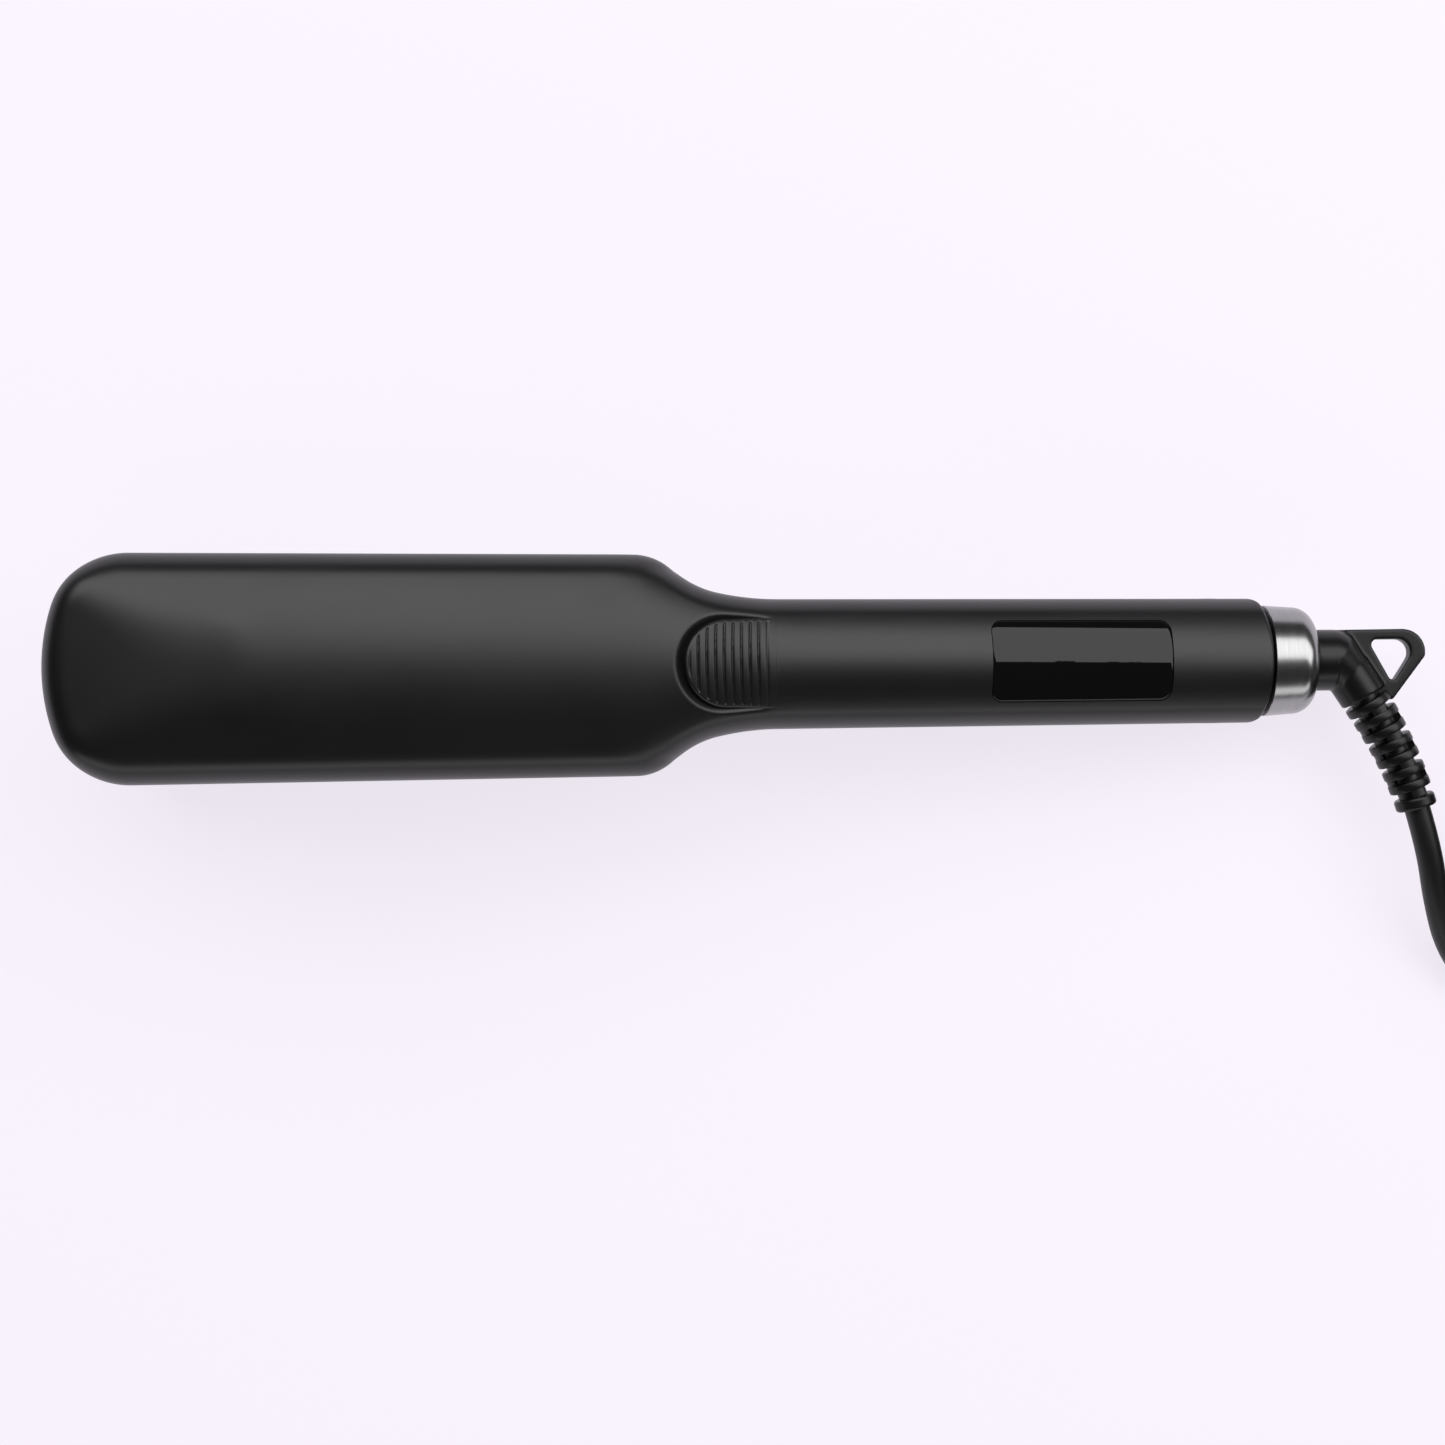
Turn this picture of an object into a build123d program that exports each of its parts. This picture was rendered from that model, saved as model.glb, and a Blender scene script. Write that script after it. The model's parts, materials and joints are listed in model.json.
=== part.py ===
from build123d import *
import math
import os

"""A salon flat iron: two sprung arms with floating heated plates, a display and a swivel cord.

Units are millimetres, +Z is up. The iron lies on the outer face of its lower arm, with its cord end
towards +X, and rests open. Each arm is drawn closed about its hinge axis, with the seam between
the arms at z = 0 and its outer face up, and is then put in its place.
"""

# ---- overall sizes
arm_reach = 270.4          # hinge axis to the tip of an arm
cup_reach = 27.8           # hinge axis to the cord end of the steel cup
stub_reach = 10.2          # how far the swivel core stands out of the cup
half_thickness = 16.5      # seam to the top of an arm's crown
rest_flat = 0.4            # depth of the flat strip that the lower arm lies on
open_angle = 11.0          # opening of the arms at rest, in degrees

# ---- plan of an arm
head_half_width = 25.5
handle_half_width = 15.1
nose_radius = 45.0         # front of the nose
nose_corner = 17.0         # its two corners
shoulder_at = 135.6        # where the head's side would meet the slope of the shoulder
shoulder_slope = 39.0
waist_slope = 12.0
waist_run = 12.2
shoulder_radius = 13.0
throat_radius = 20.0
waist_radius = 64.0
rear_reach = 15.9          # hinge axis to the rear end of an arm
rear_bow = 45.0
rear_corner = 6.0

# ---- section of an arm
head_crown = 60.0
handle_crown = 22.0
crown_head_end = 140.2     # the crown changes between these two distances from the hinge
crown_handle_end = 104.0
nose_drop_run = 42.0       # length over which the nose falls away
nose_bend = 220.0
edge_round = [(0.0, 5.5), (0.75, 9.0), (2.34, 11.2), (5.3, 13.1), (8.5, 16.8)]  # inset and height
wall = 2.1
fit_gap = 0.25             # inner pieces to the inside of the wall
head_rim = 0.4             # height of the head's rim above the seam
handle_rim = 3.0
rim_step = (114.0, 106.0)  # where the rim rises from the head's to the handle's

# ---- plates
plate_front = 256.0        # hinge axis to the front end of a plate
plate_length = 108.0
plate_width = 42.0
plate_thickness = 2.4
plate_face = 0.05          # height of the plate's face above the seam
plate_gap = 0.4            # plate to its carrier
rib_height = 3.1
rib_spacing = 24.0
rib_thickness = 1.6
heater_size = (76.0, 20.0, 1.5)
mica_thickness = 0.5
sensor_sizes = [(-3.0, 6.0, 1.2, 14.6), (-12.0, 10.0, 1.6, -15.2)]   # start, length, radius, y
clamp_thickness = 0.7
clamp_tabs = (-30, -10, 10, 30)   # places of the clamp's tabs from the plate's middle
web_thickness = 1.2        # the carrier's web, which the float springs push against
web_gap = 0.95             # left between the plate's ribs and the web at full travel
carrier_wall = 1.8
carrier_rear = 114.5       # hinge axis to the rear end of the carrier
carrier_screw_at = 129.5
carrier_screw_spread = 9.2
float_travel = 1.1
float_spring_radius = 2.3
float_wire = 0.5

# ---- thumb pads
pad_front = 130.6
pad_rear = 108.0
recess_front = 132.4
recess_half_width = 10.45
recess_depth = 1.5
pad_side_gap = 0.35
backing_depth = 3.4

# ---- inner covers of the handles
cover_thickness = 1.8
cover_front = 110.0
cover_rear = 9.0
screw_head = (2.2, 1.3)    # radius and depth
screw_shank = 1.15
screw_gap = 0.05
post_radius = 2.9
post_sink = 1.0            # posts end this far below the outer face
front_screw_at = 103.5
rear_screw_at = 46.0
screw_reach = 6.0          # thread beyond the cover

# ---- display
window_rear = 13.3
window_length = 44.5
window_width = 18.9
window_corner = 2.6
window_thickness = 1.2
window_gap = 0.15
window_ledge = 1.5
board_height = 8.2
board_thickness = 1.2
board_front = 100.0
board_rear = 12.0
board_width = 19.4
lcd_size = (40.0, 14.0, 1.7)
chip_sizes = [(-88.0, -3.6, 10.0, 5.0, 1.4), (-74.0, 3.6, 6.0, 5.0, 1.2)]   # x, y, length, width, height
capacitor_sizes = [(-69.0, -3.0, 2.0, 2.2), (-96.0, 3.6, 1.6, 1.8)]        # x, y, radius, height

# ---- buttons, on the inner cover of the display arm
button_places = {"power_button": 92.0, "plus_button": 81.0, "minus_button": 72.0}
button_radius = 3.0
button_gap = 0.3
button_stand = 0.6
button_travel = 0.5
button_flange = 0.8
button_lift = 0.1          # flange above the cover
switch_radius = 1.6
switch_height = 1.4
stem_radius = 1.3          # the stem that presses the switch

# ---- leads inside the arms
lead_spread = 4.9
lead_height = 7.0

# ---- hinge
pin_radius = 2.0
pin_gap = 0.03
pin_short = 1.5            # the pin ends this far inside the handle's sides
pin_cap_radius = 3.5
pin_cap_depth = 1.15
pin_cap_stand = 0.0        # the pin caps are flush with the handle's sides
knuckle_radius = 7.0
knuckle_gap = 0.3
knuckle_inner = 11.3       # inner face of the side knuckles
block_half_width = 8.0
block_radius = 6.0
ear_radius = 5.6
ear_thickness = 2.0
ear_gap = 0.4
ear_reach = 18.0
bracket_height = 5.0
bracket_thickness = 1.2
bracket_front = 66.0
bracket_rear = 8.0
bracket_half_width = 7.6
bracket_screw_at = 62.0
bracket_screw_spread = 5.2
bracket_screw_head = (2.0, 1.2)
bracket_screw_length = 6.5
bracket_post_radius = 2.3
web_half = 4.5             # the web that carries the side knuckles
web_reach = 12.0
web_bottom = 8.2
housing_gap = 0.3          # housing to the lower shell's seat
shelf_top = 9.4            # depth of the housing's shelf below the axis
shelf_thickness = 1.6
shelf_front = 33.0
shelf_half_width = 7.4
housing_screw_at = 13.5
housing_screw_spread = 6.0
housing_screw_length = 4.0
housing_post_radius = 2.6
spring_at = 24.0
spring_radius = 3.6
spring_wire = 0.9
spring_turns = 6

# ---- swivel
neck_tube = 9.7            # radius of the housing's rear tube
neck_gap = 0.4
bore = 8.5                 # radius of the bush seat
bore_front = 6.0
bush_front = 11.9
bush_reach = 26.4          # hinge axis to the rear end of the bush and its seat
journal = 5.5
journal_gap = 0.05
stub_radius = 5.0
core_front = 6.4
boss_radius = 12.1
boss_rear = 22.0
cup_front_radius = 13.6
cup_rear_radius = 13.1
cup_round = 4.9
cup_wall = 1.0
cup_front = 16.4
ring_places = [(6.7, 6.3), (8.8, 7.0)]   # front face and radius of the two slip rings
ring_width = 1.2
clip_front = 10.5
clip_radius = 7.4
clip_thickness = 1.1
brush_wire = 0.6

# ---- boot, loop and strain relief, measured from the cup's end in the plane of the swivel
neck_radius = 7.5
boot_gap = 0.3
elbow_at = 5.2
limb_radius = 5.7
knee = (12.6, -9.2)
limb_end = (17.3, -16.65)
relief_end = (25.6, -35.3)
relief_turn = (56.0, 74.0)
rib_count = 6
rib_outer = (5.35, 4.9)
rib_core = 4.1
rib_width = 1.75
collar_length = 2.8
tab_thickness = 3.5
tab_round = 5.6
tab_centre = (22.4, 1.8)
tab_hole = [(14.4, 4.9), (26.6, 4.9), (19.7, -5.6)]
tab_hole_round = (0.9, 2.6, 0.7)

# ---- cord
cord_radius = 3.1
coil_centre = (236.0, -48.0)
coil_rings = 3
coil_layers = 4
tie_half_width = 5.0
tie_thickness = 1.0
tie_gap = 0.3              # tie to the coil, beside and above it
coil_mid_radius = 33.6
cord_pitch = 6.25

# ---- worked out from the sizes above
front_end = arm_reach
rear_end = cup_reach + stub_reach
hinge_x = (front_end - rear_end) / 2
seam_z = half_thickness - rest_flat
web_height = plate_face + plate_thickness + rib_height + float_travel + web_gap


def upper(shape):
    """Put a shape drawn closed in the upper arm's place, open."""
    return Pos(hinge_x, 0, seam_z) * Rot(0, open_angle, 0) * shape


def lower(shape):
    """Put a shape drawn closed, outer face up, in the lower arm's place."""
    return Pos(hinge_x, 0, seam_z) * mirror(shape, about=Plane.XY)


def hinged(shape):
    """Put a shape drawn about the hinge axis in its place in the lower body."""
    return Pos(hinge_x, 0, seam_z) * shape


def group(shapes):
    """Separate solids in one node."""
    return Compound([solid for shape in shapes for solid in shape.solids()])


def block(x0, x1, y0, y1, z0, z1):
    return Pos((x0 + x1) / 2, (y0 + y1) / 2, (z0 + z1) / 2) * Box(x1 - x0, y1 - y0, z1 - z0)


def post(x, y, z0, z1, radius):
    """A cylinder along Z."""
    return Pos(x, y, (z0 + z1) / 2) * Cylinder(radius, z1 - z0)


def rod(x0, x1, radius, y=0.0, z=0.0):
    """A cylinder along X."""
    return Pos((x0 + x1) / 2, y, z) * Rot(0, 90, 0) * Cylinder(radius, x1 - x0)


def axle(y0, y1, radius):
    """A cylinder along Y on the hinge axis."""
    return Pos(0, (y0 + y1) / 2, 0) * Rot(90, 0, 0) * Cylinder(radius, y1 - y0)


# ---- the arm's outer form


def moved_corner(point, before, after, inset):
    """A corner of the plan between edges running at two angles, moved inwards by inset."""
    first = Vector(-math.sin(before), math.cos(before))
    second = Vector(-math.sin(after), math.cos(after))
    share = inset / (1 + first.dot(second))
    return (point[0] - share * (first.X + second.X), point[1] - share * (first.Y + second.Y))


def side_corners(inset):
    """The three corners of the shoulder and waist, on the +Y side."""
    slope = -math.radians(shoulder_slope)
    waist = -math.radians(waist_slope)
    throat_y = handle_half_width - waist_run * math.sin(waist)
    throat_x = -shoulder_at + (head_half_width - throat_y) / math.tan(-slope)
    waist_x = throat_x + waist_run * math.cos(waist)
    return [
        moved_corner((-shoulder_at, head_half_width), 0, slope, inset),
        moved_corner((throat_x, throat_y), slope, waist, inset),
        moved_corner((waist_x, handle_half_width), waist, 0, inset),
    ]


def plan(inset, beyond=rear_reach + 30):
    """The arm's plan moved inwards by inset, open ended past the rear."""
    nose_centre = nose_radius - arm_reach
    corner_y = head_half_width - nose_corner
    between = nose_radius - nose_corner
    corner_x = nose_centre - math.sqrt(between**2 - corner_y**2)
    front = nose_radius - inset
    corner = nose_corner - inset
    join = (nose_centre + front * (corner_x - nose_centre) / between, front * corner_y / between)
    middle = (math.atan2(join[1] - corner_y, join[0] - corner_x) + math.pi / 2) / 2
    radii = [shoulder_radius - 0.9 * inset, throat_radius + inset, waist_radius + inset]
    edges = [ThreePointArc((join[0], -join[1]), (-arm_reach + inset, 0), join)]
    for side in (1, -1):
        start = (join[0], side * join[1])
        halfway = (corner_x + corner * math.cos(middle), side * (corner_y + corner * math.sin(middle)))
        end = (corner_x, side * (corner_y + corner))
        edges.append(ThreePointArc(start, halfway, end))
        corners = [(x, side * y) for x, y in side_corners(inset)]
        last = (beyond, side * (handle_half_width - inset))
        edges += FilletPolyline(end, *corners, last, radius=radii).edges()
    edges.append(Line((beyond, handle_half_width - inset), (beyond, inset - handle_half_width)))
    return make_face(edges)


def crown_section(x, radius, half_width, top):
    """A D-shaped section across the arm, rounded above."""
    shoulder = top - radius + math.sqrt(radius**2 - half_width**2)
    sides = Polyline((half_width, shoulder), (half_width, -9), (-half_width, -9), (-half_width, shoulder))
    arch = ThreePointArc((-half_width, shoulder), (0, top), (half_width, shoulder))
    section_plane = Plane(origin=(x, 0, 0), x_dir=(0, 1, 0), z_dir=(1, 0, 0))
    return section_plane * make_face([*sides.edges(), arch])


def crown(inset):
    """The arched top of an arm: flat arch on the head, round arch on the handle, fallen nose."""
    top = half_thickness - inset
    head = crown_section(-crown_head_end, head_crown - inset, head_half_width + 4.5, top)
    handle = crown_section(-crown_handle_end, handle_crown - inset, handle_half_width + 1.9, top)
    arch = extrude(head, -arm_reach) + loft([head, handle], ruled=True)
    return arch + extrude(handle, arm_reach / 2)


def nose_limit(inset):
    """Everything below the top line of an arm, which falls away at the nose."""
    top = half_thickness - inset
    bend_start = arm_reach - nose_drop_run
    bend = nose_bend - inset
    far = arm_reach + 30
    drop = [bend - math.sqrt(bend**2 - run**2) for run in ((far - bend_start) / 2, far - bend_start)]
    outline = Polyline((-bend_start, top), (60, top), (60, -12), (-far, -12), (-far, top - drop[1]))
    fall = ThreePointArc((-far, top - drop[1]), (-(far + bend_start) / 2, top - drop[0]), (-bend_start, top))
    side = Plane.XZ * make_face([*outline.edges(), fall])
    return extrude(side, 60, both=True)


def rear_limit(inset, lean):
    """Everything ahead of an arm's rear end, which leans so that it stands upright when open."""
    half = handle_half_width - inset
    rear = rear_reach - inset
    bow = rear_bow - inset
    corner_x = rear - bow + math.sqrt(bow**2 - half**2)
    wide = 2 * head_half_width
    sides = Polyline((corner_x, half), (-60, half), (-60, wide), (-400, wide), (-400, -wide),
                     (-60, -wide), (-60, -half), (corner_x, -half))
    face = make_face([*sides.edges(), ThreePointArc((corner_x, half), (rear, 0), (corner_x, -half))])
    face = fillet([v for v in face.vertices() if v.X > 0], max(rear_corner - inset, 0.5))
    tilt = Vector(-math.tan(math.radians(lean)), 0, 1).normalized()
    return extrude(Pos(0, 0, -9) * face, 40, dir=tilt)


made = {}


def form(inset, lean):
    """The solid form of an arm, moved inwards by inset."""
    if inset not in made:
        levels = [(0.0, -6.0)] + [(step, height - inset) for step, height in edge_round]
        stack = loft([Pos(0, 0, height) * plan(inset + step) for step, height in levels], ruled=True)
        made[inset] = stack & crown(inset) & nose_limit(inset)
    if (inset, lean) not in made:
        made[inset, lean] = made[inset] & rear_limit(inset, lean)
    return made[inset, lean]


def above_rim():
    """The space an arm's shell may fill: above its rim, which steps up at the throat and is
    bevelled behind the hinge, where the two arms close on each other as the tips open."""
    bevel = math.tan(math.radians(open_angle / 2))
    behind = knuckle_radius + knuckle_gap
    line = Polyline((-300, head_rim), (-rim_step[0], head_rim), (-rim_step[1], handle_rim),
                    (-behind, handle_rim), (behind, bevel * behind + neck_gap / 2),
                    (60, bevel * 60 + neck_gap / 2), (60, 40), (-300, 40), (-300, head_rim))
    return extrude(Plane.XZ * make_face(line.edges()), 60, both=True)


def sunk(depth, lean):
    """The arm's solid form, lowered by a depth."""
    return Pos(0, 0, -depth) * form(0, lean)


def skin(depth_out, depth_in, lean):
    """The layer of an arm between two depths below its outer face."""
    return sunk(depth_out, lean) - sunk(depth_in, lean)


def pad_outline(front, half_width, rear):
    """The U of a thumb pad, rounded towards the tip."""
    middle = -front + half_width
    turn = ThreePointArc((middle, half_width), (-front, 0), (middle, -half_width))
    sides = Polyline((middle, -half_width), (-rear, -half_width), (-rear, half_width), (middle, half_width))
    return make_face([turn, *sides.edges()])


def pad_prism(front, half_width, rear):
    return extrude(pad_outline(front, half_width, rear), 40)


def window_prism(grow):
    """The display window's outline, grown on all sides, drawn up through the arm."""
    size = (window_length + 2 * grow, window_width + 2 * grow)
    outline = RectangleRounded(*size, window_corner + max(grow, -1.5))
    return Pos(-window_rear - window_length / 2, 0, 0) * extrude(outline, 40)


def screw(x, y, z, reach):
    """A screw driven outwards through a cover whose face is at height z."""
    radius, depth = screw_head
    head = post(x, y, z + 0.1, z + 0.1 + depth, radius)
    return head + post(x, y, z + depth, z + depth + reach, screw_shank)


def screw_hole(x, y, z, reach):
    radius, depth = screw_head
    hole = post(x, y, z - 1, z + depth + 0.1, radius + 0.15)
    return hole + post(x, y, z, z + depth + reach + 0.5, screw_shank + screw_gap)


def carrier_screw_places():
    return [(-carrier_screw_at, side * carrier_screw_spread) for side in (-1, 1)]


def shell(lean):
    """The outer shell of an arm, with its posts, recess and hinge clearances."""
    body = form(0, lean) - form(wall, lean)
    backing = pad_prism(recess_front + 2, recess_half_width + 2, pad_rear - 2)
    body += backing & skin(wall - 0.2, backing_depth, lean)
    inside = sunk(post_sink, lean)
    cover_back = handle_rim + cover_thickness
    body += post(-front_screw_at, 0, cover_back, 20, post_radius) & inside
    for x, y in carrier_screw_places():
        body += post(x, y, head_rim + wall + 0.2, 20, post_radius) & inside
    body -= pad_prism(recess_front, recess_half_width, pad_rear) & skin(0, recess_depth, lean)
    body = body & above_rim()
    body -= screw_hole(-front_screw_at, 0, handle_rim, screw_reach)
    for x, y in carrier_screw_places():
        body -= screw_hole(x, y, head_rim + 0.2, screw_reach)
    notch = knuckle_radius + knuckle_gap
    body -= axle(block_half_width + 0.1, 40, notch)
    body -= axle(-40, -block_half_width - 0.1, notch)
    return body


def neck_clearance(lean):
    """The round tube behind the hinge, over the whole swing of the arm."""
    radius = neck_tube + neck_gap
    shape = rod(bore_front, 60, radius)
    if lean:
        for part in (0.5, 1.0):
            shape += Rot(0, -lean * part, 0) * rod(bore_front, 60, radius)
    return shape


def cover(lean):
    """The inner cover of a handle."""
    level = handle_rim + cover_thickness
    body = form(wall + fit_gap, lean) & block(-cover_front, -cover_rear, -30, 30, handle_rim, level)
    body -= screw_hole(-front_screw_at, 0, handle_rim, screw_reach)
    body -= screw_hole(-rear_screw_at, 0, handle_rim, screw_reach)
    body -= post(-spring_at, 0, 0, 10, spring_radius + 1.6)
    body -= post(-spring_at + 1.5, 0, 0, 10, spring_radius + 1.6)
    return body


def carrier(lean):
    """The heat-proof frame that holds a plate and its float springs in the head."""
    level = web_height + web_thickness
    body = form(wall + fit_gap, lean) & block(-300, -carrier_rear, -40, 40, head_rim + 0.2, level)
    plate_rear = plate_front - plate_length
    half = plate_width / 2 + plate_gap
    body -= block(-plate_front - plate_gap, -plate_rear + plate_gap, -half, half, -1, web_height)
    half_window = rib_spacing / 2 + 1.5
    body -= block(-plate_front + 14, -plate_rear - 14, -half_window, half_window, 0, 20)
    hollow = Pos(0, 0, head_rim + 2.2) * extrude(plan(wall + fit_gap + carrier_wall), 20)
    hollow &= block(-plate_rear + plate_gap + carrier_wall, -carrier_rear - carrier_wall, -40, 40, 0, 20)
    body -= hollow
    body -= block(-plate_rear - 1, -carrier_rear + 1, -7.5, 7.5, head_rim + 2.8, 20)
    for x, y in carrier_screw_places():
        body += post(x, y, head_rim + 0.2, head_rim + wall, post_radius + 0.5)
        body -= screw_hole(x, y, head_rim + 0.2, screw_reach)
        body -= post(x, y, head_rim + wall + 0.15, 20, post_radius + 0.15)
    return body


def helix_spring(radius, wire, height, turns):
    """A coil spring standing on z = 0, with the wire's ends lying inside its height."""
    run = height - 2 * wire / 2 - wire
    path = Helix(pitch=run / turns, height=run, radius=radius - wire / 2)
    start = Plane(origin=path @ 0, z_dir=path % 0)
    return Pos(0, 0, wire) * sweep(start * Circle(wire / 2), path=path, is_frenet=True)


def float_spring_places():
    inset = 9.0
    plate_rear = plate_front - plate_length
    xs = (-plate_front + inset, -plate_rear - inset)
    return [(x, y) for x in xs for y in (-16.8, 16.8)]


def float_springs():
    foot = plate_face + plate_thickness
    spring = helix_spring(float_spring_radius, float_wire, web_height - foot, 4)
    return group([Pos(x, y, foot) * spring for x, y in float_spring_places()])


def plate():
    """A coated aluminium plate with the two ribs that guide its heater."""
    middle = -plate_front + plate_length / 2
    base = extrude(RectangleRounded(plate_length, plate_width, 2.0), plate_thickness)
    base = chamfer(base.faces().sort_by(Axis.Z)[0].edges(), 0.6)
    body = Pos(middle, 0, plate_face) * base
    top = plate_face + plate_thickness
    for side in (-1, 1):
        y = side * rib_spacing / 2
        half = plate_length / 2 - 8
        body += block(middle - half, middle + half, y - rib_thickness / 2, y + rib_thickness / 2,
                      top - 0.2, top + rib_height)
    return body


def heater_stack():
    """The heater, its mica sheet and its spring clamp, lying on the back of the plate."""
    middle = -plate_front + plate_length / 2
    length, width, thick = heater_size
    level = plate_face + plate_thickness
    heater = block(middle - length / 2, middle + length / 2, -width / 2, width / 2, level, level + thick)
    level += thick
    mica = block(middle - length / 2, middle + length / 2, -width / 2 - 0.5, width / 2 + 0.5,
                 level, level + mica_thickness)
    level += mica_thickness
    inner = rib_spacing / 2 - rib_thickness / 2
    clamp = block(middle - length / 2 + 4, middle + length / 2 - 4, -width / 2 + 3, width / 2 - 3,
                  level, level + clamp_thickness)
    for x in clamp_tabs:
        clamp += block(middle + x - 3, middle + x + 3, -inner + 0.05, inner - 0.05,
                       level, level + clamp_thickness)
    return heater, mica, clamp


def sensors():
    """The thermistor and the thermal fuse, on the back of the plate beside the ribs."""
    middle = -plate_front + plate_length / 2
    level = plate_face + plate_thickness
    made_sensors = [rod(middle + start, middle + start + length, radius, y, level + radius)
                    for start, length, radius, y in sensor_sizes]
    return group(made_sensors)


def lead_wires(front, rear, y, z, radius=0.8):
    """Two leads along the handle."""
    return group([rod(-front, -rear, radius, side * y, z) for side in (-1, 1)])


# ---- the hinge and the swivel


def hinge_housing():
    """The moulded frame screwed into the lower arm: knuckles, shelf, swivel seat and cup boss."""
    body = axle(-block_half_width, block_half_width, block_radius)
    body += block(-block_radius, block_radius, -block_half_width, block_half_width, -shelf_top, 0)
    body += rod(bore_front, cup_front + 0.1, neck_tube)
    between_ears = block(0, bore_front, -block_half_width, block_half_width, -20, 20)
    body += rod(bore_front - 1.4, bore_front, neck_tube) & between_ears
    body += block(0, bore_front, -block_half_width, block_half_width, -shelf_top, 4.5)
    body += rod(cup_front + 0.1, boss_rear, boss_radius)
    body += rod(boss_rear, bush_reach, bore + 0.8)
    body += block(-shelf_front, block_radius, -shelf_half_width, shelf_half_width,
                  -shelf_top - shelf_thickness, -shelf_top)
    body += block(-web_half, web_half, -web_reach, web_reach, -web_bottom, -ear_radius - 0.6)
    for side in (-1, 1):
        ends = sorted((side * knuckle_inner, side * handle_half_width))
        body += axle(ends[0], ends[1], knuckle_radius)
    body -= rod(bore_front, 40, bore)
    body -= axle(-40, 40, pin_radius + pin_gap)
    for side in (-1, 1):
        ends = sorted((side * (handle_half_width - pin_cap_depth - 0.05), side * 40))
        body -= axle(ends[0], ends[1], pin_cap_radius + 0.1)
    for (x, radius), side in zip(ring_places, (1, -1)):
        y, z = brush_place(radius, side)
        body -= rod(-20, bore_front + 1, brush_wire + 0.1, y, z)
    for side in (-1, 1):
        body -= post(-housing_screw_at, side * housing_screw_spread, -20, 0, screw_shank + screw_gap)
    return body


def brush_place(ring_radius, side):
    """Where a brush wire runs, just clear of its slip ring."""
    distance = ring_radius + brush_wire + 0.2
    angle = math.radians(220 if side < 0 else 320)
    return distance * math.cos(angle), distance * math.sin(angle)


def brush_contacts():
    wires = []
    for (x, radius), side in zip(ring_places, (1, -1)):
        y, z = brush_place(radius, side)
        wires.append(rod(-block_radius - 2, x + ring_width, brush_wire, y, z))
    return group(wires)


def hinge_bracket():
    """The steel bracket of the upper arm, with the two ears that turn on the pin."""
    level = bracket_height + bracket_thickness
    ear_inner = block_half_width + ear_gap
    outer = ear_inner + ear_thickness
    body = block(-bracket_front, -bracket_rear, -bracket_half_width, bracket_half_width,
                 bracket_height, level)
    body += block(-ear_reach, -bracket_rear, -outer, outer, bracket_height, level)
    for side in (-1, 1):
        ends = sorted((side * ear_inner, side * outer))
        body += axle(ends[0], ends[1], ear_radius)
        body += block(-bracket_rear - 0.6, 0, ends[0], ends[1], 1.5, level)
    body -= axle(-40, 40, pin_radius + pin_gap)
    body -= post(-rear_screw_at, 0, 0, 20, screw_shank + screw_gap)
    for side in (-1, 1):
        body -= post(-bracket_screw_at, side * bracket_screw_spread, 0, 20, screw_shank + screw_gap)
    return body


def hinge_spring_height():
    """From the shelf to the bracket, at the spring's near side, with the arms open."""
    near = spring_at - spring_radius
    rise = near * math.sin(math.radians(open_angle)) + bracket_height * math.cos(math.radians(open_angle))
    return shelf_top + rise - 0.3


def end_cup():
    """The deep-drawn steel cup over the swivel, closed around the cord's neck."""
    rear = cup_reach
    hole = neck_radius + 0.35

    def outline(inset):
        points = [(cup_front, 0, hole), (cup_front, 0, cup_front_radius - inset),
                  (rear - inset, 0, cup_rear_radius - inset), (rear - inset, 0, hole)]
        return Polyline(*[Vector(*p) for p in points], close=True)

    def turned(inset):
        face = make_face(outline(inset).edges())
        far = max(v.X for v in face.vertices())
        corner = [v for v in face.vertices() if v.X > far - 0.01 and v.Z > hole + 1]
        return revolve(fillet(corner, cup_round - inset), Axis.X)

    return turned(0) - turned(cup_wall) - rod(cup_front - 1, cup_front + 5, cup_front_radius - cup_wall)


def swivel_core():
    """The turned spindle that carries the cord's boot."""
    body = rod(core_front, cup_reach + boot_gap, journal)
    body += rod(cup_reach + boot_gap, cup_reach + boot_gap + 1.2, journal + 1.3)
    return body + rod(cup_reach + boot_gap + 1.2, rear_end, stub_radius)


def slip_rings():
    rings = [rod(x, x + ring_width, radius) - rod(x - 1, x + 3, journal + 0.02) for x, radius in ring_places]
    return group(rings)


def boot_frame(point):
    """A place in the boot's plane, measured from the cup's end."""
    return Vector(cup_reach + point[0], point[1], 0)


def relief_path():
    """The strain relief's centre line, bending evenly between its two directions."""
    start, end = boot_frame(limb_end), boot_frame(relief_end)
    first, last = (Vector(math.cos(math.radians(a)), -math.sin(math.radians(a))) for a in relief_turn)
    return Spline(start, end, tangents=[first, last])


def disc_along(path, place, radius, width):
    """A disc square to a path, centred at a share of its length."""
    return Plane(origin=path @ place, z_dir=path % place) * Cylinder(radius, width)


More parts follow.
